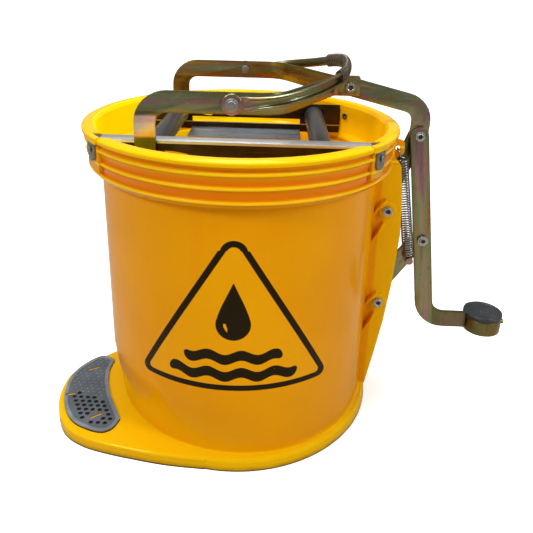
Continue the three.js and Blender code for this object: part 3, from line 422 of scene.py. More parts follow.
def bright_zinc(name, tint=(0.46, 0.465, 0.48), rough=0.18):
    finish = Finish(name, Metallic=1.0)
    place = finish.place()
    cloud = finish.noise(place, 160.0, 4.0, 0.6)
    spots = finish.noise(place, 700.0, 3.0).step(0.62, 0.75)
    dull = tuple(c * 0.45 for c in tint)
    colour = finish.mix(cloud.step(0.42, 0.72) * 0.55, tint, dull)
    colour = finish.mix(spots * 0.4, colour, (0.22, 0.19, 0.16))
    roughness = cloud * 0.22 + rough + spots * 0.2
    normal = finish.bump(cloud + spots * 0.3, 0.00012, 0.5)
    return finish.wear(Base_Color=colour, Roughness=roughness, Normal=normal)


def from_arm(x, z):
    return abs(z - ARM_Z)


def from_lever(x, z):
    return abs(x - 188.5 - (311 - z) * 0.13)


zinc_run = passivated_zinc(
    "passivated_zinc_run", (40.0, 60.0, 900.0), warm=0.02, from_middle=from_arm, painted_bend_highlight=True)
zinc_rear = passivated_zinc(
    "passivated_zinc_rear", (40.0, 60.0, 900.0), drift=2.4, warm=-0.15, from_middle=from_arm)
zinc_fall = passivated_zinc(
    "passivated_zinc_fall", (900.0, 60.0, 26.0), drift=1.1, warm=0.03, from_middle=from_lever)
zinc_strap = passivated_zinc("passivated_zinc_strap", (120.0, 60.0, 700.0), drift=3.9, warm=0.02)
bolt_steel = bright_zinc("bright_zinc_bolts")
rivet_steel = bright_zinc("bright_zinc_rivets", (0.36, 0.365, 0.38), 0.28)
print("plated finishes:", zinc_run.name, zinc_fall.name, zinc_strap.name, bolt_steel.name)

# %% [markdown]
# The other finishes are quieter. The rollers are black and rubbed paler where the mop drags over
# them. The two cross members are brown-black sheet with worn streaks, and their top faces, the rear
# one's shelf and its sheared edge carry a painted bright reflection. The tread, the pedal's pad and
# the handle's grip are rubber, which is matt, a little dusty, speckled by the texture of its mould,
# with painted shade in the tread's hollows.

# %% Dark and rubber finishes
def worn_black(name, base, worn, grain):
    finish = Finish(name, Specular_IOR_Level=0.6, Coat_Roughness=0.2)
    place = finish.place()
    drag = finish.noise(finish.stretch(place, grain), 1.0, 5.0, 0.65)
    cloud = finish.noise(place, 38.0, 4.0)
    rubbed = drag.step(0.52, 0.74) * cloud.step(0.35, 0.65)
    colour = finish.mix(cloud.step(0.3, 0.7) * 0.4, base, tuple(c * 1.7 for c in base))
    colour = finish.mix(rubbed * 0.55, colour, worn)
    roughness = 0.28 + drag * 0.22 + cloud * 0.1
    normal = finish.bump(drag + cloud * 0.3, 0.0003, 0.4)
    coat = 0.5 - cloud * 0.3
    return finish.wear(Base_Color=colour, Roughness=roughness, Coat_Weight=coat, Normal=normal)


def dark_sheet(name):
    """Rolled steel sheet: brown-black with a painted bright reflection on top, and dull grey at the two
    tabs.
    """
    finish = Finish(name, Metallic=0.9)
    place = finish.place()
    x, _, z = finish.split(place)
    streak = finish.noise(finish.stretch(place, (8.0, 700.0, 700.0)), 1.0, 4.0, 0.65)
    cloud = finish.noise(place, 45.0, 4.0)
    # painted reflection: the top face above 322.3 mm is mixed towards a bright grey
    top = (z * 1000 - 322.3).step(-0.2, 0.3)
    dark = finish.mix(cloud.step(0.35, 0.7) * 0.6, (0.035, 0.022, 0.015), (0.075, 0.052, 0.038))
    painted_reflection = finish.mix(streak.step(0.35, 0.7), (0.55, 0.56, 0.58), (0.92, 0.92, 0.92))
    tab = (abs(x) * 1000 - 123).step(0.0, 1.0)
    dark = finish.mix(tab, dark, (0.26, 0.26, 0.24))
    painted_reflection = finish.mix(tab * 0.85, painted_reflection, (0.10, 0.10, 0.10))
    colour = finish.mix(top, dark, painted_reflection)
    colour = finish.mix(streak.step(0.66, 0.8) * 0.35, colour, (0.42, 0.40, 0.38))
    roughness = streak * 0.2 + 0.2 + cloud * 0.12
    normal = finish.bump(streak, 0.0002, 0.3)
    return finish.wear(Base_Color=colour, Roughness=roughness, Normal=normal)


def rear_sheet(name):
    """The rear member: brown-black, with a painted blue-grey reflection on its shelf and a painted
    highlight along its sheared edge.
    """
    finish = Finish(name, Metallic=0.9)
    place = finish.place()
    _, y, z = finish.split(place)
    streak = finish.noise(finish.stretch(place, (8.0, 500.0, 700.0)), 1.0, 4.0, 0.65)
    cloud = finish.noise(place, 45.0, 4.0)
    # painted reflection on the shelf below 291.2 mm and painted highlight along the edge at 297 mm, both
    # mixed towards a bright blue-grey
    shelf_reflection = (z * 1000 - 291.2).fall(-0.3, 0.3) * (y * 1000 - 91.6).fall(-0.3, 0.3)
    edge_highlight = (abs(z * 1000 - 297.0) - 0.5).fall(-0.2, 0.3)
    dark = finish.mix(cloud.step(0.35, 0.7) * 0.6, (0.030, 0.020, 0.014), (0.070, 0.050, 0.036))
    painted_reflection = finish.mix(streak.step(0.3, 0.75), (0.32, 0.37, 0.43), (0.62, 0.68, 0.76))
    colour = finish.mix(shelf_reflection.larger(edge_highlight), dark, painted_reflection)
    roughness = streak * 0.16 + 0.16 + cloud * 0.1
    normal = finish.bump(streak, 0.0002, 0.25)
    return finish.wear(Base_Color=colour, Roughness=roughness, Normal=normal)


def moulded_rubber(name, base, dusty, rough, speckle=900.0, field=None):
    """Rubber from a mould. Below the height field, in millimetres, it gets painted shade."""
    finish = Finish(name, Specular_IOR_Level=0.45)
    place = finish.place()
    cloud = finish.noise(place, 55.0, 4.0)
    grain = finish.noise(place, speckle, 3.0, 0.6)
    dust = cloud.step(0.42, 0.72) * grain.step(0.4, 0.65)
    colour = finish.mix(cloud.step(0.3, 0.7), base, tuple(c * 1.35 for c in base))
    colour = finish.mix(dust * 0.5, colour, dusty)
    if field:
        height = finish.split(place)[2] * 1000
        # painted shade: below the field height the rubber is mixed darker, and near black deeper down
        hollow_shade = (height - field).fall(0.1, 0.6)
        colour = finish.mix(hollow_shade * 0.62, colour, tuple(c * 0.3 for c in base))
        colour = finish.mix((height - field).fall(-0.8, -0.3), colour, (0.006, 0.007, 0.008))
    roughness = rough + dust * 0.2 - cloud * 0.1
    normal = finish.bump(grain + cloud * 0.4, 0.0004, 0.35)
    return finish.wear(Base_Color=colour, Roughness=roughness, Normal=normal)


roller_black = worn_black("roller_black", (0.020, 0.021, 0.023), (0.13, 0.13, 0.135), (420.0, 9.0, 420.0))
front_sheet = dark_sheet("rolled_sheet_front")
back_sheet = rear_sheet("rolled_sheet_rear")
tread_grey = moulded_rubber("tread_grey", (0.17, 0.21, 0.25), (0.32, 0.365, 0.40), 0.34, field=14.7)
pad_black = moulded_rubber("pad_black", (0.018, 0.021, 0.024), (0.07, 0.075, 0.08), 0.45)
grip_brown = moulded_rubber("grip_brown", (0.050, 0.036, 0.022), (0.15, 0.12, 0.07), 0.36, 600.0)
print("dark finishes:", roller_black.name, front_sheet.name, tread_grey.name)

# %% [markdown]
# Each piece is modelled with the operators that one would use by hand. These helpers deselect
# everything first, because the loaded nodes are all selected. `outlined` starts from a circle with
# a corner for each point of an outline, `slab` extrudes it and rounds its edges, and `refined`
# copies a part of the solid model, joins its loose triangles and rounds its sharp corners.

# %% Modelling helpers
MM = 0.001


def only(piece):
    bpy.ops.object.select_all(action="DESELECT")
    piece.select_set(True)
    bpy.context.view_layer.objects.active = piece


def modify(piece, kind, **settings):
    only(piece)
    modifier = piece.modifiers.new(kind.lower(), kind)
    for name, value in settings.items():
        setattr(modifier, name, value)
    bpy.ops.object.modifier_apply(modifier=modifier.name)


def soften(piece, edge, steps=2, angle=38):
    """Rounds the corners sharper than angle and shades the rest smooth."""
    if edge:
        modify(piece, "BEVEL", width=edge * MM, segments=steps, limit_method="ANGLE",
               angle_limit=math.radians(angle), use_clamp_overlap=True)
    only(piece)
    bpy.ops.object.shade_smooth_by_angle(angle=math.radians(angle))


def edit_all(piece):
    only(piece)
    bpy.ops.object.mode_set(mode="EDIT")
    bpy.ops.mesh.select_all(action="SELECT")


def close_edit():
    bpy.ops.mesh.select_all(action="SELECT")
    bpy.ops.mesh.normals_make_consistent(inside=False)
    bpy.ops.object.mode_set(mode="OBJECT")


def outlined(name, points):
    bpy.ops.object.select_all(action="DESELECT")
    bpy.ops.mesh.primitive_circle_add(vertices=len(points), radius=0.1, fill_type="NGON")
    piece = bpy.context.object
    piece.name = name
    for corner, point in zip(piece.data.vertices, points):
        corner.co = Vector(point) * MM
    return piece


def slab(name, points, by, edge=0.0, steps=2):
    """A flat piece with this outline, made thick by the vector by."""
    piece = outlined(name, points)
    edit_all(piece)
    bpy.ops.mesh.extrude_region_move(TRANSFORM_OT_translate={"value": Vector(by) * MM})
    close_edit()
    soften(piece, edge, steps)
    return piece


def carve(piece, cutter):
    """Takes the cutter out of the piece and throws the cutter away."""
    modify(piece, "BOOLEAN", operation="DIFFERENCE", object=cutter, solver="EXACT")
    bpy.data.objects.remove(cutter)


def joined(pieces, name):
    bpy.ops.object.select_all(action="DESELECT")
    for piece in pieces:
        piece.select_set(True)
    bpy.context.view_layer.objects.active = pieces[0]
    bpy.ops.object.join()
    bpy.context.object.name = name
    return bpy.context.object


def refined(node, edge, steps=2):
    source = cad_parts[node]
    piece = bpy.data.objects.new(node + "_finished", source.data.copy())
    bpy.context.collection.objects.link(piece)
    only(piece)
    bpy.ops.mesh.customdata_custom_splitnormals_clear()
    edit_all(piece)
    bpy.ops.mesh.remove_doubles(threshold=2e-6)
    bpy.ops.mesh.dissolve_limited(angle_limit=math.radians(0.6))
    bpy.ops.object.mode_set(mode="OBJECT")
    soften(piece, edge, steps)
    return piece


def keep(piece, body, material, *stands_for):
    """Gives a finished piece its finish and its body, and hides the nodes it stands for."""
    piece.data.materials.clear()
    piece.data.materials.append(material)
    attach(piece, body)
    if stands_for:
        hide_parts(*stands_for)
    print(piece.name, "rides on", body, "with", len(piece.data.polygons), "faces")
    return piece


print("modelling helpers ready")

# %% [markdown]
# The bucket's wall is a round moulding, so it is one profile spun about the Z axis: a skirt at the
# floor, a nearly straight wall, three beads under the rim that step outwards, a rolled lip, and the
# same wall coming back down inside to the floor. Corners are rounded in the profile, where it is
# cheap, and the spin makes them round all the way round.

# %% Bucket profile
def fillet(before, corner, after, radius, steps=4):
    """Points of an arc that rounds the corner, at most halfway along each side."""
    corner, before, after = Vector(corner), Vector(before), Vector(after)
    back, on = before - corner, after - corner
    half = back.angle(on) / 2
    if radius <= 0 or half > math.radians(88):
        return [corner]
    reach = min(radius / math.tan(half), back.length * 0.48, on.length * 0.48)
    start, end = corner + back.normalized() * reach, corner + on.normalized() * reach
    points = []
    for i in range(steps + 1):
        t = i / steps
        points.append(start.lerp(corner, t).lerp(corner.lerp(end, t), t))
    return points


def rounded(corners):
    """A path whose corners (a, b, radius) are rounded. The two ends are left as they are."""
    places = [(a, b) for a, b, _ in corners]
    path = [Vector(places[0])]
    for i in range(1, len(corners) - 1):
        path += fillet(places[i - 1], places[i], places[i + 1], corners[i][2])
    return path + [Vector(places[-1])]


def wall_line(low, high, heights):
    """Points on a straight wall from low to high, at these heights."""
    rise = (high[0] - low[0]) / (high[1] - low[1])
    return [(low[0] + rise * (z - low[1]), z, 0) for z in heights]


LEVELS = [20, 28, 36, 44, 52, 60, 68, 75, 77.4, 78.6, 82, 100, 150, 200, 250]
skirt = [(0, 0, 0), (12, 0, 0.8), (12, 5, 0.8), (142.5, 5, 0.8), (142.5, 0, 0.8), (153, 0, 0.8)]
ledge = [(152.8, 5, 0), (151.9, 10.2, 2.0), (150.1, 13, 1.4), (146.8, 13, 1.2), (144.55, 17, 4)]
beads = [(147, 279, 1), (155.6, 281.4, 1.0), (157.6, 283.4, 1.2)]
for bead, z in ((160.2, 287.4), (161.6, 300.6), (163.0, 313.3)):
    beads += [
        (bead - 1.9, z - 3.2, 1.5), (bead, z - 1.1, 1.0),
        (bead, z + 0.6, 0.8), (bead - 3.0, z + 2.0, 0.9),
    ]
lip = [(161.2, 318.6, 1.0), (165, 320.2, 1.3), (165, 323.8, 2.2), (160.5, 326, 2.2), (153.6, 326, 2.4)]
inside = [(151.5, 321, 2.0), (149.7, 289, 3.0), (143.4, 277, 3.0)]
inner_wall = wall_line((140.9, 13), (143.4, 277), LEVELS[::-1])
bottom = [(140.75, 9, 5.0), (60, 8.8, 0), (0, 9, 0)]
outer_wall = wall_line((144.55, 17), (147, 279), LEVELS)
profile = rounded(skirt + ledge + outer_wall + beads + lip + inside + inner_wall + bottom)
print("profile points:", len(profile))

# %% [markdown]
# Above the foot platform the wall leans in towards the middle, so that there is room for the toe
# of a shoe. The lean grows from nothing at 78 mm up to 8 mm at the ledge, and a faint crease shows
# where it starts. The spun wall already has rings at these heights, so each of its points below
# the crease only has to move in as far as a leaning cylinder allows.

# %% Bucket wall
TOE_HIGH, TOE_LOW, TOE_IN, TOE_TURN = 78.0, 13.0, 8.0, math.radians(207)
FLOOR_R, SKIN_MIDDLE, SKIRT_R, FLOOR_Z = 60, 142.5, 147.4, 8.9
WALL_FOOT_R, WALL_FOOT_Z, WALL_SLOPE, WALL_THICK = 144.55, 17, 0.00935, 3.6


def lean_in(piece):
    moved = 0
    for corner in piece.data.vertices:
        x, y, z = corner.co / MM
        radius = math.hypot(x, y)
        if z >= TOE_HIGH or radius < FLOOR_R or radius > SKIRT_R or z < FLOOR_Z:
            continue
        share = min(1.0, (TOE_HIGH - z) / (TOE_HIGH - TOE_LOW))
        inwards = 0 if radius > SKIN_MIDDLE else WALL_THICK
        wall = 0.4 + WALL_FOOT_R + (z - WALL_FOOT_Z) * WALL_SLOPE - inwards
        toward = math.cos(math.atan2(y, x) - TOE_TURN) * TOE_IN * share
        limit = -toward + math.sqrt(wall ** 2 - (TOE_IN * share) ** 2 + toward ** 2)
        if radius > limit:
            corner.co = Vector((x * limit / radius, y * limit / radius, z)) * MM
            moved += 1
    return moved


def spun_wall():
    wall = outlined("bucket_wall", [(r, 0, z) for r, z in profile])
    edit_all(wall)
    bpy.ops.mesh.delete(type="ONLY_FACE")
    bpy.ops.mesh.select_all(action="SELECT")
    bpy.ops.mesh.spin(steps=180, angle=2 * math.pi, center=(0, 0, 0), axis=(0, 0, 1))
    bpy.ops.mesh.select_all(action="SELECT")
    bpy.ops.mesh.remove_doubles(threshold=1e-6)
    bpy.ops.mesh.dissolve_degenerate(threshold=1e-6)
    bpy.ops.mesh.delete_loose(use_verts=True, use_edges=True, use_faces=False)
    close_edit()
    return wall


bucket_wall = spun_wall()
print("points leaned in:", lean_in(bucket_wall))

# %% [markdown]
# The front cross member lies across the rim, so the rim has a notch at each side, and flat seats
# behind the two tabs that fold down over it. Boxes cut from the spun wall make the notches, each a
# little larger than the sheet that lies in it.

# %% Rim notches and seats
def box(name, low, high, turn=0.0, edge=0.0):
    """A block between two corners, turned about the bucket's axis by turn."""
    (x0, y0, z0), (x1, y1, z1) = low, high
    floor = [(x0, y0, z0), (x1, y0, z0), (x1, y1, z0), (x0, y1, z0)]
    piece = slab(name, floor, (0, 0, z1 - z0), edge)
    if turn:
        only(piece)
        piece.rotation_euler = (0, 0, turn)
        bpy.ops.object.transform_apply(location=False, rotation=True, scale=False)
    return piece


TAB_R = 163.4
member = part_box("front_cross_member")
flange_front, flange_top = member[0][1] / MM, member[1][2] / MM
tab_turn = math.asin((-flange_front - 8) / TAB_R)
for turn in (math.pi + tab_turn, -tab_turn):
    seat = box("tab_seat", (155, -11.5, 293), (163.05, 11.5, 318.9), turn, 1.2)
    keep(seat, "bucket", yellow)
    carve(bucket_wall, box("cutter", (163.08, -8.7, 307.5), (178, 8.7, 340), turn))
notch_low, notch_high = (-172, flange_front - 0.3, flange_top - 2.8), (172, flange_front + 16.3, 330)
carve(bucket_wall, box("cutter", notch_low, notch_high))
soften(bucket_wall, 0.0, angle=32)
keep(bucket_wall, "bucket", yellow_printed, "bucket_shell")

# %% [markdown]
# The foot platform grows out of the skirt towards the left. Its edge is a smooth curve through a
# few knots, so the outline is worked out with a centripetal Catmull-Rom curve, which doesn't
# overshoot. The slab's upper edge gets a broad round, like the real moulding's, and the recess
# for the tread pad is the pad's own outline, a little larger.

# %% Foot platform
PLATFORM_TOP = 13.1


def through(knots, steps):
    """Points of a smooth curve through the knots."""
    knots = [Vector(k) for k in knots]
    knots = [knots[0] * 2 - knots[1]] + knots + [knots[-1] * 2 - knots[-2]]
    path = []
    for p0, p1, p2, p3 in zip(knots, knots[1:], knots[2:], knots[3:]):
        t1 = math.sqrt((p1 - p0).length)
        t2 = t1 + math.sqrt((p2 - p1).length)
        t3 = t2 + math.sqrt((p3 - p2).length)
        for i in range(steps):
            t = t1 + (t2 - t1) * i / steps
            a1 = p0 + (p1 - p0) * (t / t1)
            a2 = p1 + (p2 - p1) * ((t - t1) / (t2 - t1))
            a3 = p2 + (p3 - p2) * ((t - t2) / (t3 - t2))
            b1 = a1 + (a2 - a1) * (t / t2)
            b2 = a2 + (a3 - a2) * ((t - t1) / (t3 - t1))
            path.append(b1 + (b2 - b1) * ((t - t1) / (t2 - t1)))
    return path + [knots[-2]]


platform_edge = through(
    [(-150, 24), (-160, 14), (-172, 2), (-186, -12.5), (-197, -31), (-199.2, -53), (-196, -76),
     (-187.5, -98), (-174, -117), (-153, -130), (-128, -137.5), (-98, -143.5), (-62, -149),
     (-24, -151.4)],
    8,
)


def top_faces(piece, height):
    """Selects, in edit mode, the faces that look up at this height."""
    mesh = bmesh.from_edit_mesh(piece.data)
    for face in mesh.faces:
        face.select_set(face.normal.z > 0.95 and abs(face.calc_center_median().z / MM - height) < 0.2)
    bmesh.update_edit_mesh(piece.data)


def inset_top(piece, height, *insets):
    """Insets the top once for each (thickness, depth), and leaves the piece in edit mode."""
    edit_all(piece)
    bpy.ops.mesh.select_mode(type="FACE")
    top_faces(piece, height)
    for thickness, depth in insets:
        bpy.ops.mesh.inset(thickness=thickness * MM, depth=depth * MM)
    bpy.ops.mesh.select_mode(type="VERT")


def foot_platform():
    outline = [(x, y, 0) for x, y in platform_edge] + [(0, -138, 0), (-90, -98, 0), (-128, 0, 0)]
    platform = slab("foot_platform", outline, (0, 0, PLATFORM_TOP))
    inset_top(platform, PLATFORM_TOP, (0.6, 0), (0.9, 0))
    close_edit()
    return platform


def round_edge(platform):
    """Lowers the outer rings of the top so that its edge is a broad round."""
    for corner in platform.data.vertices:
        if corner.co.z / MM < PLATFORM_TOP - 0.1:
            continue
        away = min((Vector((x, y)) - corner.co.xy / MM).length for x, y in platform_edge)
        if away < 0.2:
            corner.co.z -= 2.1 * MM
        elif away < 1.0:
            corner.co.z -= 0.75 * MM


platform = foot_platform()
round_edge(platform)
recess = refined("foot_tread_pad", 0.0)
edit_all(recess)
bpy.ops.transform.resize(value=(1.008, 1.008, 3.0), center_override=(-0.163, -0.058, 0.0121 - 0.0002))
bpy.ops.object.mode_set(mode="OBJECT")
carve(platform, recess)
soften(platform, 0.0, angle=50)
keep(platform, "bucket", yellow, "bucket_shell")

# %% [markdown]
# The tread is a rubber mat with a raised band round it. Most of it carries small domes, and its
# front part has rows of pits with cut corners that let water drain. Three thin slots go right
# through, and ribs of the yellow platform show in them. The mat is a refined copy of its solid,
# whose top is inset and lowered. The pits and slots are cut, and one dome is copied in rows.

# %% Tread pad
def edge_distance(point, outline):
    best = 1e9
    for a, b in zip(outline, outline[1:] + outline[:1]):
        along = (b - a).normalized()
        share = max(0.0, min((b - a).length, (point - a).dot(along)))
        best = min(best, (point - a - along * share).length)
    return best


def is_inside(point, outline):
    inside = False
    for a, b in zip(outline, outline[1:] + outline[:1]):
        if (a.y > point.y) != (b.y > point.y):
            if point.x < a.x + (point.y - a.y) / (b.y - a.y) * (b.x - a.x):
                inside = not inside
    return inside


def rim_of(piece, height):
    """The outline, in millimetres, of the piece's largest face that looks up at this height."""
    tops = [f for f in piece.data.polygons if f.normal.z > 0.95 and abs(f.center.z / MM - height) < 0.3]
    top = max(tops, key=lambda face: face.area)
    return [piece.data.vertices[i].co.xy / MM for i in top.vertices]


def grid_places(outline, pitch_x, pitch_y, margin, keep_if):
    """Staggered rows of places well inside the outline."""
    low_x, high_x = min(p.x for p in outline), max(p.x for p in outline)
    low_y, high_y = min(p.y for p in outline), max(p.y for p in outline)
    places, row = [], 0
    y = low_y
    while y < high_y:
        x = low_x + (pitch_x / 2 if row % 2 else 0)
        while x < high_x:
            spot = Vector((x, y))
            if keep_if(spot) and is_inside(spot, outline) and edge_distance(spot, outline) > margin:
                places.append(spot)
            x += pitch_x
        y, row = y + pitch_y, row + 1
    return places


PIT = (
    (-2.3, -1.2), (-1.2, -2.2), (1.4, -2.2), (2.3, -1.0),
    (2.3, 1.2), (1.2, 2.2), (-1.4, 2.2), (-2.3, 1.0),
)
SLOTS = [((-178, -24.5), (-167, -18.5)), ((-190, -70), (-180.5, -66.5)), ((-152, -104.5), (-141, -96.5))]


def slot_block(name, a, b, half, low, high, edge=0.0):
    a, b = Vector(a), Vector(b)
    along = (b - a).normalized()
    side = Vector((-along.y, along.x)) * half
    floor = [(*(a - side), low), (*(b - side), low), (*(b + side), low), (*(a + side), low)]
    return slab(name, floor, (0, 0, high - low), edge)


def clear_of_slots(spot, room):
    for a, b in SLOTS:
        if edge_distance(spot, [Vector(a), Vector(b)]) < room:
            return False
    return True


def in_front_part(spot):
    return spot.y + (spot.x + 160) * 0.28 < -70


tread = refined("foot_tread_pad", 0.0)
tread_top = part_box("foot_tread_pad")[1][2] / MM
rim = rim_of(tread, tread_top)
inset_top(tread, tread_top, (3.6, 0), (0.7, -0.8))
bpy.ops.object.mode_set(mode="OBJECT")
pits = grid_places(rim, 7.6, 6.4, 6.6, lambda p: in_front_part(p) and clear_of_slots(p, 4.2))
cutters = []
for spot in pits:
    corners = [(spot.x + dx, spot.y + dy, tread_top - 2.3) for dx, dy in PIT]
    cutters.append(slab("pit", corners, (0, 0, 4)))
carve(tread, joined(cutters, "pits"))
for a, b in SLOTS:
    carve(tread, slot_block("slot", a, b, 1.15, 5, 20))
soften(tread, 0.35, 2, 50)
print("pits:", len(pits))

# %% [markdown]
# One dome is a short cone with a rounded crown. Its copies, each with its own mesh, stand in
# staggered rows, and all of them are joined to the mat.

# %% Tread domes
def stud(spot, radius, low, height):
    bpy.ops.object.select_all(action="DESELECT")
    bpy.ops.mesh.primitive_cone_add(vertices=10, radius1=radius * MM, radius2=radius * 0.72 * MM,
                                    depth=height * MM, location=(0, 0, 0))
    dome = bpy.context.object
    inset_top(dome, height / 2, (radius * 0.3, radius * 0.16))
    bpy.ops.object.mode_set(mode="OBJECT")
    dome.data.transform(Matrix.Translation(Vector((spot.x, spot.y, low + height / 2)) * MM))
    return dome


def copies(first, start, spots, name):
    """Copies of one stud, moved from start to each spot, joined in one piece."""
    pieces = [first]
    for spot in spots:
        mesh = first.data.copy()
        mesh.transform(Matrix.Translation(Vector((spot.x - start.x, spot.y - start.y, 0)) * MM))
        piece = bpy.data.objects.new(name, mesh)
        bpy.context.collection.objects.link(piece)
        pieces.append(piece)
    return joined(pieces, name)


dome_spots = grid_places(
    rim, 6.4, 5.4, 5.6, lambda p: not in_front_part(p) and clear_of_slots(p, 2.9))
first_dome = stud(dome_spots[0], 1.25, tread_top - 1.0, 1.0)
domes = copies(first_dome, dome_spots[0], dome_spots[1:], "tread_domes")
soften(domes, 0.0, angle=50)
tread = joined([tread, domes], "tread_pad_finished")
keep(tread, "bucket", tread_grey, "foot_tread_pad")
slot_ribs = [slot_block("rib", a, b, 0.65, 11.6, tread_top - 1.3, 0.2) for a, b in SLOTS]
keep(joined(slot_ribs, "platform_ribs"), "bucket", yellow)
print("domes:", len(dome_spots))

# %% [markdown]
# The linkage hangs on two upright webs moulded onto the bucket's right side. Each has a round boss
# at each pivot and two curved blades that brace it. The webs share one outline, and the spring's
# upper hook holds in an eye in a small lug under the rim.

# %% Linkage rib
UPPER, LOWER = (158.6, 233.0), (157.5, 123.0)
EYE = (165.6, 299.5)
rib_outline = rounded([
    (140, 296, 0), (158, 297, 5), (169, 283, 8), (173, 250, 20), (175.3, 205, 20), (171.3, 142, 20),
    (166, 96, 10), (160, 60, 10), (151.3, 12, 0.5), (140, 12, 0),
])


def ribbon(path, half):
    """The outline of a strip of this half width along a path."""
    left, right = [], []
    for i, point in enumerate(path):
        along = (path[min(i + 1, len(path) - 1)] - path[max(i - 1, 0)]).normalized()
        side = Vector((-along.y, along.x)) * half
        left.append(point + side)
        right.append(point - side)
    return right + left[::-1]


def upright(name, outline, y0, y1, edge, steps=2):
    return slab(name, [(x, y0, z) for x, z in outline], (0, y1 - y0, 0), edge, steps)


def circle(centre, radius, corners=32):
    turns = [2 * math.pi * i / corners for i in range(corners)]
    return [(centre[0] + radius * math.cos(t), centre[1] + radius * math.sin(t)) for t in turns]


def linkage_rib(side):
    web = upright("rib_web", rib_outline, side * 18, side * 22, 1.0, 3)
    pieces = [web]
    for x, z in (UPPER, LOWER):
        boss = upright("boss", circle((x, z), 9.5), side * 21, side * 24, 0.9, 3)
        for bored in (web, boss):
            carve(bored, upright("bore", circle((x, z), 3.5), side * 10, side * 40, 0.0))
        pieces.append(boss)
        above = rounded([(x - 2, z + 13, 0), (x - 11, z + 4, 14), (x - 18, z - 10, 0)])
        below = rounded([(x - 3, z - 12, 0), (x - 8, z - 24, 40), (x - 19, z - 42, 0)])
        for path in (above, below):
            blade = ribbon(path, 1.25)
            pieces.append(upright("blade", blade, side * 21, side * 29.5, 0.7, 2))
    rib = joined(pieces, "linkage_rib_front" if side < 0 else "linkage_rib_rear")
    soften(rib, 0.0, angle=40)
    return keep(rib, "bucket", yellow, "bucket_shell")


for side in (-1, 1):
    linkage_rib(side)
lug_outline = rounded([
    (146, 283.5, 0), (163.6, 287.5, 4), (172.4, 293.5, 4),
    (172.4, 307.5, 5), (163.6, 309.5, 4), (146, 309.5, 0),
])
lug = upright("spring_lug", lug_outline, -12.9, -9.1, 0.8, 3)
carve(lug, upright("eye", circle(EYE, 2.6, 20), -20, 0, 0.0))
soften(lug, 0.0, angle=40)
keep(lug, "bucket", yellow, "bucket_shell")

# %% [markdown]
# The flat steel pieces have the right shape already, but sheared steel never has a razor edge.
# Each is a merged copy of its node with its corners rounded by a few tenths of a millimetre, which
# is what catches the light along a real bar.

# %% Flat steel and rollers
flat_steel = {
    "front_arm": ("yoke", zinc_run, 0.55), "rear_arm": ("yoke", zinc_rear, 0.55),
    "upper_arm": ("yoke", zinc_strap, 0.55), "pedal_lever": ("pedal_lever", zinc_fall, 0.55),
    "upper_link": ("upper_link", zinc_fall, 0.55), "lower_link": ("lower_link", zinc_strap, 0.55),
    "front_cross_member": ("bucket", front_sheet, 0.3), "rear_cross_member": ("bucket", back_sheet, 0.3),
}
for node, (body, material, edge) in flat_steel.items():
    keep(refined(node, edge, 2), body, material, node)
for roller in ("fixed_roller", "moving_roller"):
    keep(refined(roller, 0.4, 2), roller, roller_black, roller)

# %% [markdown]
# Fasteners are small but bright, and they sit where the eye goes. Their heads get a wide round, so
# that they look forged and not turned, and each one catches its own highlight. Five of them have a
# hexagonal socket cut in the head, with a black disc a little way down as painted shade in it.

# %% Fasteners
SOCKET_R, SOCKET_DEPTH, SOCKET_SHADE_R = 2.7, 2.2, 2.5
socketed = ("arm_clamp_bolt", "upper_pivot_bolt", "lower_pivot_bolt", "top_pin", "mid_rivet")
fasteners = {
    "arm_clamp_bolt": "yoke", "upper_pivot_bolt": "bucket", "lower_pivot_bolt": "bucket",
    "top_pin": "upper_link", "mid_rivet": "pedal_lever", "bail_rivet_front": "yoke",
    "bail_rivet_rear": "yoke", "tab_rivet_left": "bucket", "tab_rivet_right": "bucket",
    "wall_eyelet_left": "bucket", "wall_eyelet_right": "bucket", "fixed_axle": "bucket",
    "fixed_axle_nut_front": "bucket", "fixed_axle_nut_rear": "bucket", "moving_axle": "yoke",
    "moving_axle_nut_front": "yoke", "moving_axle_nut_rear": "yoke", "upper_spacer_front": "bucket",
    "upper_spacer_rear": "bucket", "lower_spacer_front": "bucket", "lower_spacer_rear": "bucket",
}
for node, body in fasteners.items():
    material = rivet_steel if "rivet" in node and "mid" not in node else bolt_steel
    head = refined(node, 0.75, 3)
    if node in socketed:
        low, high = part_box(node)
        middle = ((low[0] + high[0]) / 2 / MM, (low[2] + high[2]) / 2 / MM)
        face = low[1] / MM
        socket = circle(middle, SOCKET_R, 6)
        carve(head, upright("socket", socket, face - 2, face + SOCKET_DEPTH, 0.0))
        # painted shade: a black hexagonal disc set 1.3 mm down in each socket
        floor = circle(middle, SOCKET_SHADE_R, 6)
        shade = upright(f"{node}_socket_shade_disc", floor, face + 1.3, face + 1.9, 0.0)
        keep(shade, body, pad_black)
    keep(head, body, material, node)
keep(refined("spring_pin", 0.6, 3), "lower_link", zinc_strap, "spring_pin")

# %% [markdown]
# The return spring is a close coil of bright wire with a hook at each end. One run of points starts
# in the upper hook, goes down round the coil and ends in the lower hook, and a round section is
# swept along it.

# %% Return spring
def wire(name, points, radius):
    curve = bpy.data.curves.new(name, "CURVE")
    curve.dimensions = "3D"
    curve.bevel_depth = radius * MM
    curve.bevel_resolution = 2
    curve.use_fill_caps = True
    run = curve.splines.new("POLY")
    run.points.add(len(points) - 1)
    for spot, point in zip(run.points, points):
        spot.co = (*(Vector(point) * MM), 1.0)
    piece = bpy.data.objects.new(name, curve)
    bpy.context.collection.objects.link(piece)
    only(piece)
    bpy.ops.object.convert(target="MESH")
    return bpy.context.object


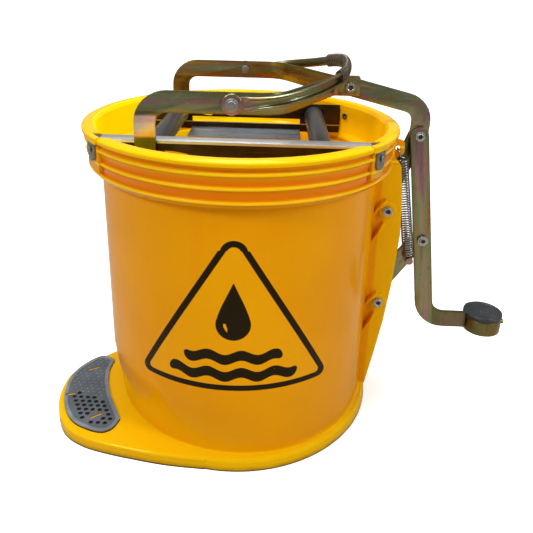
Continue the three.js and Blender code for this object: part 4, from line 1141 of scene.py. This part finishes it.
HANG_Y = -11.0
TURNS, STEPS, COIL_R = 40, 14, 5.5
coil_top, coil_foot = Vector((171.6, HANG_Y, 287.5)), Vector((188.67, HANG_Y, 176.54))
pin = Vector((189.585, HANG_Y, 170.61))


def spring_points():
    along = (coil_foot - coil_top).normalized()
    side = Vector((along.z, 0, -along.x)).normalized()
    other = along.cross(side)
    points = through([
        (EYE[0] + 1.2, HANG_Y + 3.6, EYE[1] - 2.2), (EYE[0] - 0.2, HANG_Y + 0.6, EYE[1] - 0.6),
        (EYE[0] + 0.2, HANG_Y - 3.2, EYE[1] - 2.4), (EYE[0] + 2.6, HANG_Y - 3.6, EYE[1] - 6.4),
        tuple(coil_top + side * 2.2 + other * -2.4 + along * -2.2),
    ], 6)
    for i in range(TURNS * STEPS + 1):
        turn = 2 * math.pi * i / STEPS
        place = coil_top.lerp(coil_foot, i / (TURNS * STEPS))
        points.append(place + side * (COIL_R * math.cos(turn)) + other * (COIL_R * math.sin(turn)))
    foot = coil_foot + along * 1.5
    points += through([
        tuple(foot + side * 3.2),
        *[tuple(pin + Vector(away)) for away in (
            (-4.4, 0, 1.5), (-3.2, 0, -2.8), (0.8, 0, -4.3), (3.8, 0, -1.6))],
    ], 6)
    return points


spring = wire("return_spring_coil", spring_points(), 0.9)
spring.data.materials.append(bright_zinc("bright_spring_wire", (0.40, 0.40, 0.41), 0.12))
only(spring)
bpy.ops.object.shade_smooth()
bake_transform(spring)
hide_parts("return_spring")
print("spring faces:", len(spring.data.polygons))

# %% [markdown]
# The bail is a steel strap whose two long edges are curled outwards, so that it is stiff and kind
# to the hand. A tube of rings of points makes it: the rings follow a smooth route from one pivot
# over the apex to the other, and each ring has the section of the curled strap. The grip is the
# same tube with an oval section, whose size swells and shrinks like a tight wrapping.

# %% Bail handle
front_pivot_y, rear_pivot_y = -113.1, 102.6
bail_x, bail_z, apex_x, lift = -2.0, ARM_Z, 106.0, 24.25
bail_route = through([
    (bail_x, front_pivot_y, bail_z), (bail_x + 20, front_pivot_y, bail_z + 1),
    (bail_x + 48, front_pivot_y, bail_z + 6), (apex_x - 26, -84, bail_z + lift * 0.55),
    (apex_x - 6, -52, bail_z + lift * 0.85), (apex_x, -5, bail_z + lift),
    (apex_x - 6, 44, bail_z + lift * 0.85), (apex_x - 26, 76, bail_z + lift * 0.55),
    (bail_x + 48, rear_pivot_y, bail_z + 6), (bail_x + 20, rear_pivot_y, bail_z + 1),
    (bail_x, rear_pivot_y, bail_z),
], 8)


def rings(route, section, first, last, swell=None):
    """Rings of points along part of a route: section gives (up, out) offsets at a share of it."""
    made = []
    for i in range(first, last + 1):
        before, after = route[max(i - 1, 0)], route[min(i + 1, len(route) - 1)]
        along = (after - before).normalized()
        out = Vector((along.y, -along.x, 0)).normalized()
        up = out.cross(along).normalized()
        size = swell(i) if swell else 1.0
        shape = section(i / (len(route) - 1))
        made.append([route[i] + up * (a * size) + out * (b * size) for a, b in shape])
    return made


def tube(name, slices):
    """A closed tube through rings of points."""
    around, along = len(slices[0]), len(slices)
    bpy.ops.object.select_all(action="DESELECT")
    bpy.ops.mesh.primitive_grid_add(x_subdivisions=around, y_subdivisions=along - 1, size=0.1)
    piece = bpy.context.object
    piece.name = name
    for j, ring in enumerate(slices):
        for i in range(around + 1):
            piece.data.vertices[j * (around + 1) + i].co = ring[i % around] * MM
    edit_all(piece)
    bpy.ops.mesh.remove_doubles(threshold=1e-6)
    bpy.ops.mesh.select_all(action="DESELECT")
    bpy.ops.mesh.select_non_manifold()
    bpy.ops.mesh.fill_holes(sides=0)
    close_edit()
    return piece


def curled_strap(share):
    """The strap's section. Its lips are curled most at the apex and flatten at the pivots."""
    near_end = min(share, 1 - share)
    curl = max(0.0, min(1.0, (near_end - 0.05) / 0.12))
    half, lip = 6.4 - 1.4 * curl, 0.9 + 3.3 * curl
    outer = [
        (-half, -1.1), (-half * 1.04, lip * 0.5),
        (-half * 0.84, lip * 0.92), (-half * 0.6, lip * 0.8),
    ]
    pocket = [(-half * 0.62, lip * 0.42), (-half * 0.5, -0.1 + 0.6 * (1 - curl))]
    back = [(half * 0.8, -2.2), (0, -2.35), (-half * 0.8, -2.2)]
    mirrored = [(-a, b) for a, b in (outer + pocket)[::-1]]
    return outer + pocket + [(0, -0.3 + 0.7 * (1 - curl))] + mirrored + back


strap = tube("bail_strap", rings(bail_route, curled_strap, 2, len(bail_route) - 3))
soften(strap, 0.0, angle=60)
modify(strap, "SUBSURF", levels=1, render_levels=1)
eyes = []
for y in (front_pivot_y, rear_pivot_y):
    eye = upright("bail_eye", circle((bail_x, bail_z), 9.6, 40), y - 2.2, y + 2.2, 0.9, 3)
    carve(eye, upright("bore", circle((bail_x, bail_z), 3.7, 24), y - 12, y + 12, 0.0))
    eyes.append(eye)
bail = joined([strap, *eyes], "bail_handle_finished")
soften(bail, 0.0, angle=45)
keep(bail, "bail", zinc_strap, "bail_handle")

# %% [markdown]
# Where the cross member's ends fold down outside the rim, the lip of the bucket closes over the
# fold, so that only the end of each tab shows below it. Each of these is the same kind of tube: the
# lip's section, carried a few degrees round the rim.

# %% Lips over the tabs
def lip_bridge(turn):
    """A short arc of lip that closes over the fold of a tab."""
    reach, steps = 4.6, 12
    middle = Vector((TAB_R, 322.8))
    section = rounded([
        (160.6, 323.4, 0), (160.6, 326.3, 1.4), (166.6, 326.3, 2.2),
        (166.8, 319.6, 1.6), (164.6, 319.2, 0.6), (164.6, 323.4, 0),
    ])
    slices = []
    for i in range(steps + 1):
        angle = turn + math.radians(-reach + 2 * reach * i / steps)
        ends = 0.94 if i in (0, steps) else 1.0
        ring = [middle + (p - middle) * ends for p in section]
        slices.append([Vector((p.x * math.cos(angle), p.x * math.sin(angle), p.y)) for p in ring])
    return slices


for turn, name in ((math.pi + tab_turn, "tab_lip_left"), (-tab_turn, "tab_lip_right")):
    cover = tube(name, lip_bridge(turn))
    soften(cover, 0.0, angle=40)
    keep(cover, "bucket", yellow)

# %% [markdown]
# The grip is a wrapping of rubbery tape round the middle of the bail. Turns of tape overlap a
# little, so the tube gets a small step at each turn.

# %% Bail grip
def fine(route, times):
    """The same route with more points."""
    path = []
    for a, b in zip(route, route[1:]):
        path += [a.lerp(b, i / times) for i in range(times)]
    return path + [route[-1]]


def oval(share):
    turns = [2 * math.pi * (i + 0.5) / 20 for i in range(20)]
    return [(7.2 * math.cos(t), 4.3 * math.sin(t)) for t in turns]


def tape_size(i):
    """Each turn of tape is six rings long and gets 11 % thinner along its length."""
    return 1.0 - 0.11 * ((i - grip_start) % 6) / 5


grip_route = fine(bail_route, 6)
grip_start, grip_end = int(len(grip_route) * 0.36), int(len(grip_route) * 0.64)
grip = tube("bail_wrap", rings(grip_route, oval, grip_start, grip_end, tape_size))
soften(grip, 0.0, angle=35)
keep(grip, "bail", grip_brown, "bail_grip")

# %% [markdown]
# The pedal is a steel cup with a black rubber pad pressed onto it. The pad has a round edge, a
# raised ring near it, and studs that stop a shoe from slipping. They are the same studs as the
# tread's, a little smaller.

# %% Pedal
PAD_R, RING_HIGH, STUD_R = 21.5, 0.6, 1.25
keep(refined("pedal_cup", 0.7, 3), "pedal_lever", zinc_fall, "pedal_cup")
pad_low, pad_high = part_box("pedal_pad")
pad_middle = Vector(((pad_low[0] + pad_high[0]) / 2, (pad_low[1] + pad_high[1]) / 2)) / MM
pad_top, pad_foot = pad_high[2] / MM, pad_low[2] / MM
pad_outline = [(x, y, pad_foot) for x, y in circle(pad_middle, PAD_R, 64)]
pad = slab("pedal_rubber", pad_outline, (0, 0, pad_top - pad_foot - RING_HIGH))
inset_top(pad, pad_top - RING_HIGH, (2.2, 0.0), (0.5, 0.5), (1.1, 0.0), (0.5, -0.7))
close_edit()
soften(pad, 0.5, 3, 50)
spots = [pad_middle + Vector((math.cos(t), math.sin(t))) * r for r, count in ((4.5, 4), (12.2, 10))
         for t in [2 * math.pi * (i + 0.5) / count for i in range(count)]]
first_stud = stud(spots[0], STUD_R, pad_top - 0.85, 0.8)
studs = copies(first_stud, spots[0], spots[1:], "pedal_studs")
soften(studs, 0.0, angle=50)
pad = joined([pad, studs], "pedal_pad_finished")
keep(pad, "pedal_lever", pad_black, "pedal_pad")

# %% [markdown]
# The bucket stands on a flat pale floor that glows more the further it is from the bucket, so that
# it runs into the white surround. The floor and the surround are white to the camera, but dimmer and
# warmer as lights, so that three soft lights shape the bucket.

# %% Floor and lights
def pale_floor():
    bpy.ops.object.select_all(action="DESELECT")
    bpy.ops.mesh.primitive_plane_add(size=12, location=(0, 0, 0))
    floor = bpy.context.object
    floor.name = "pale_floor"
    finish = Finish("pale_paper", Roughness=0.9, Specular_IOR_Level=0.1)
    paper = finish.noise(finish.place(), 3.0, 2.0)
    seen = finish.node("ShaderNodeLightPath")["Is Camera Ray"]
    x, y, _ = finish.split(finish.place())
    far = x.diagonal(y).step(0.35, 1.3)
    glow = finish.mix(seen, (0.0, 0.0, 0.0), finish.mix(far, (0.5, 0.5, 0.5), (1.0, 1.0, 1.0)))
    finish.shader.inputs["Emission Strength"].default_value = 1.0
    white = finish.mix(paper, (0.90, 0.90, 0.90), (0.92, 0.92, 0.92))
    colour = finish.mix(seen, (0.55, 0.50, 0.42), white)
    floor.data.materials.append(finish.wear(Base_Color=colour, Emission_Color=glow))


def soft_light(name, place, target, size, power):
    bpy.ops.object.light_add(type="AREA", location=place)
    light = bpy.context.object
    light.name = name
    light.data.shape = "RECTANGLE"
    light.data.size, light.data.size_y = size
    light.data.energy = power
    aim = Vector(target) - Vector(place)
    light.rotation_euler = aim.to_track_quat("-Z", "Y").to_euler()


def surround(seen, lighting):
    """A white surround that is bright to the camera, and dimmer and a little warmer as a light."""
    world = bpy.data.worlds.new("bright_surround")
    world.use_nodes = True
    nodes, links = world.node_tree.nodes, world.node_tree.links
    path = nodes.new("ShaderNodeLightPath")
    strength = nodes.new("ShaderNodeMapRange")
    strength.inputs["To Min"].default_value = lighting
    strength.inputs["To Max"].default_value = seen
    links.new(path.outputs["Is Camera Ray"], strength.inputs["Value"])
    links.new(strength.outputs["Result"], nodes["Background"].inputs["Strength"])
    tint = nodes.new("ShaderNodeMix")
    tint.data_type = "RGBA"
    tint.inputs[6].default_value, tint.inputs[7].default_value = (1, 0.97, 0.92, 1), (1, 1, 1, 1)
    links.new(path.outputs["Is Camera Ray"], tint.inputs[0])
    links.new(tint.outputs[2], nodes["Background"].inputs["Color"])
    bpy.context.scene.world = world


pale_floor()
soft_light("key_light", (-1.1, -1.3, 1.6), (0, 0, 0.2), (0.45, 0.45), 18)
soft_light("fill_light", (1.3, -0.8, 1.2), (-0.1, 0, 0.25), (0.4, 0.9), 12)
soft_light("top_light", (-0.1, 0.1, 1.7), (0, 0, 0.3), (0.9, 0.7), 20)
surround(1.05, 0.29)
bpy.context.scene.view_settings.view_transform = "Standard"

# %% [markdown]
# Last, the view layer is brought up to date. The looks never change the size of the solid model.

# %% Update the view layer
bpy.context.view_layer.update()
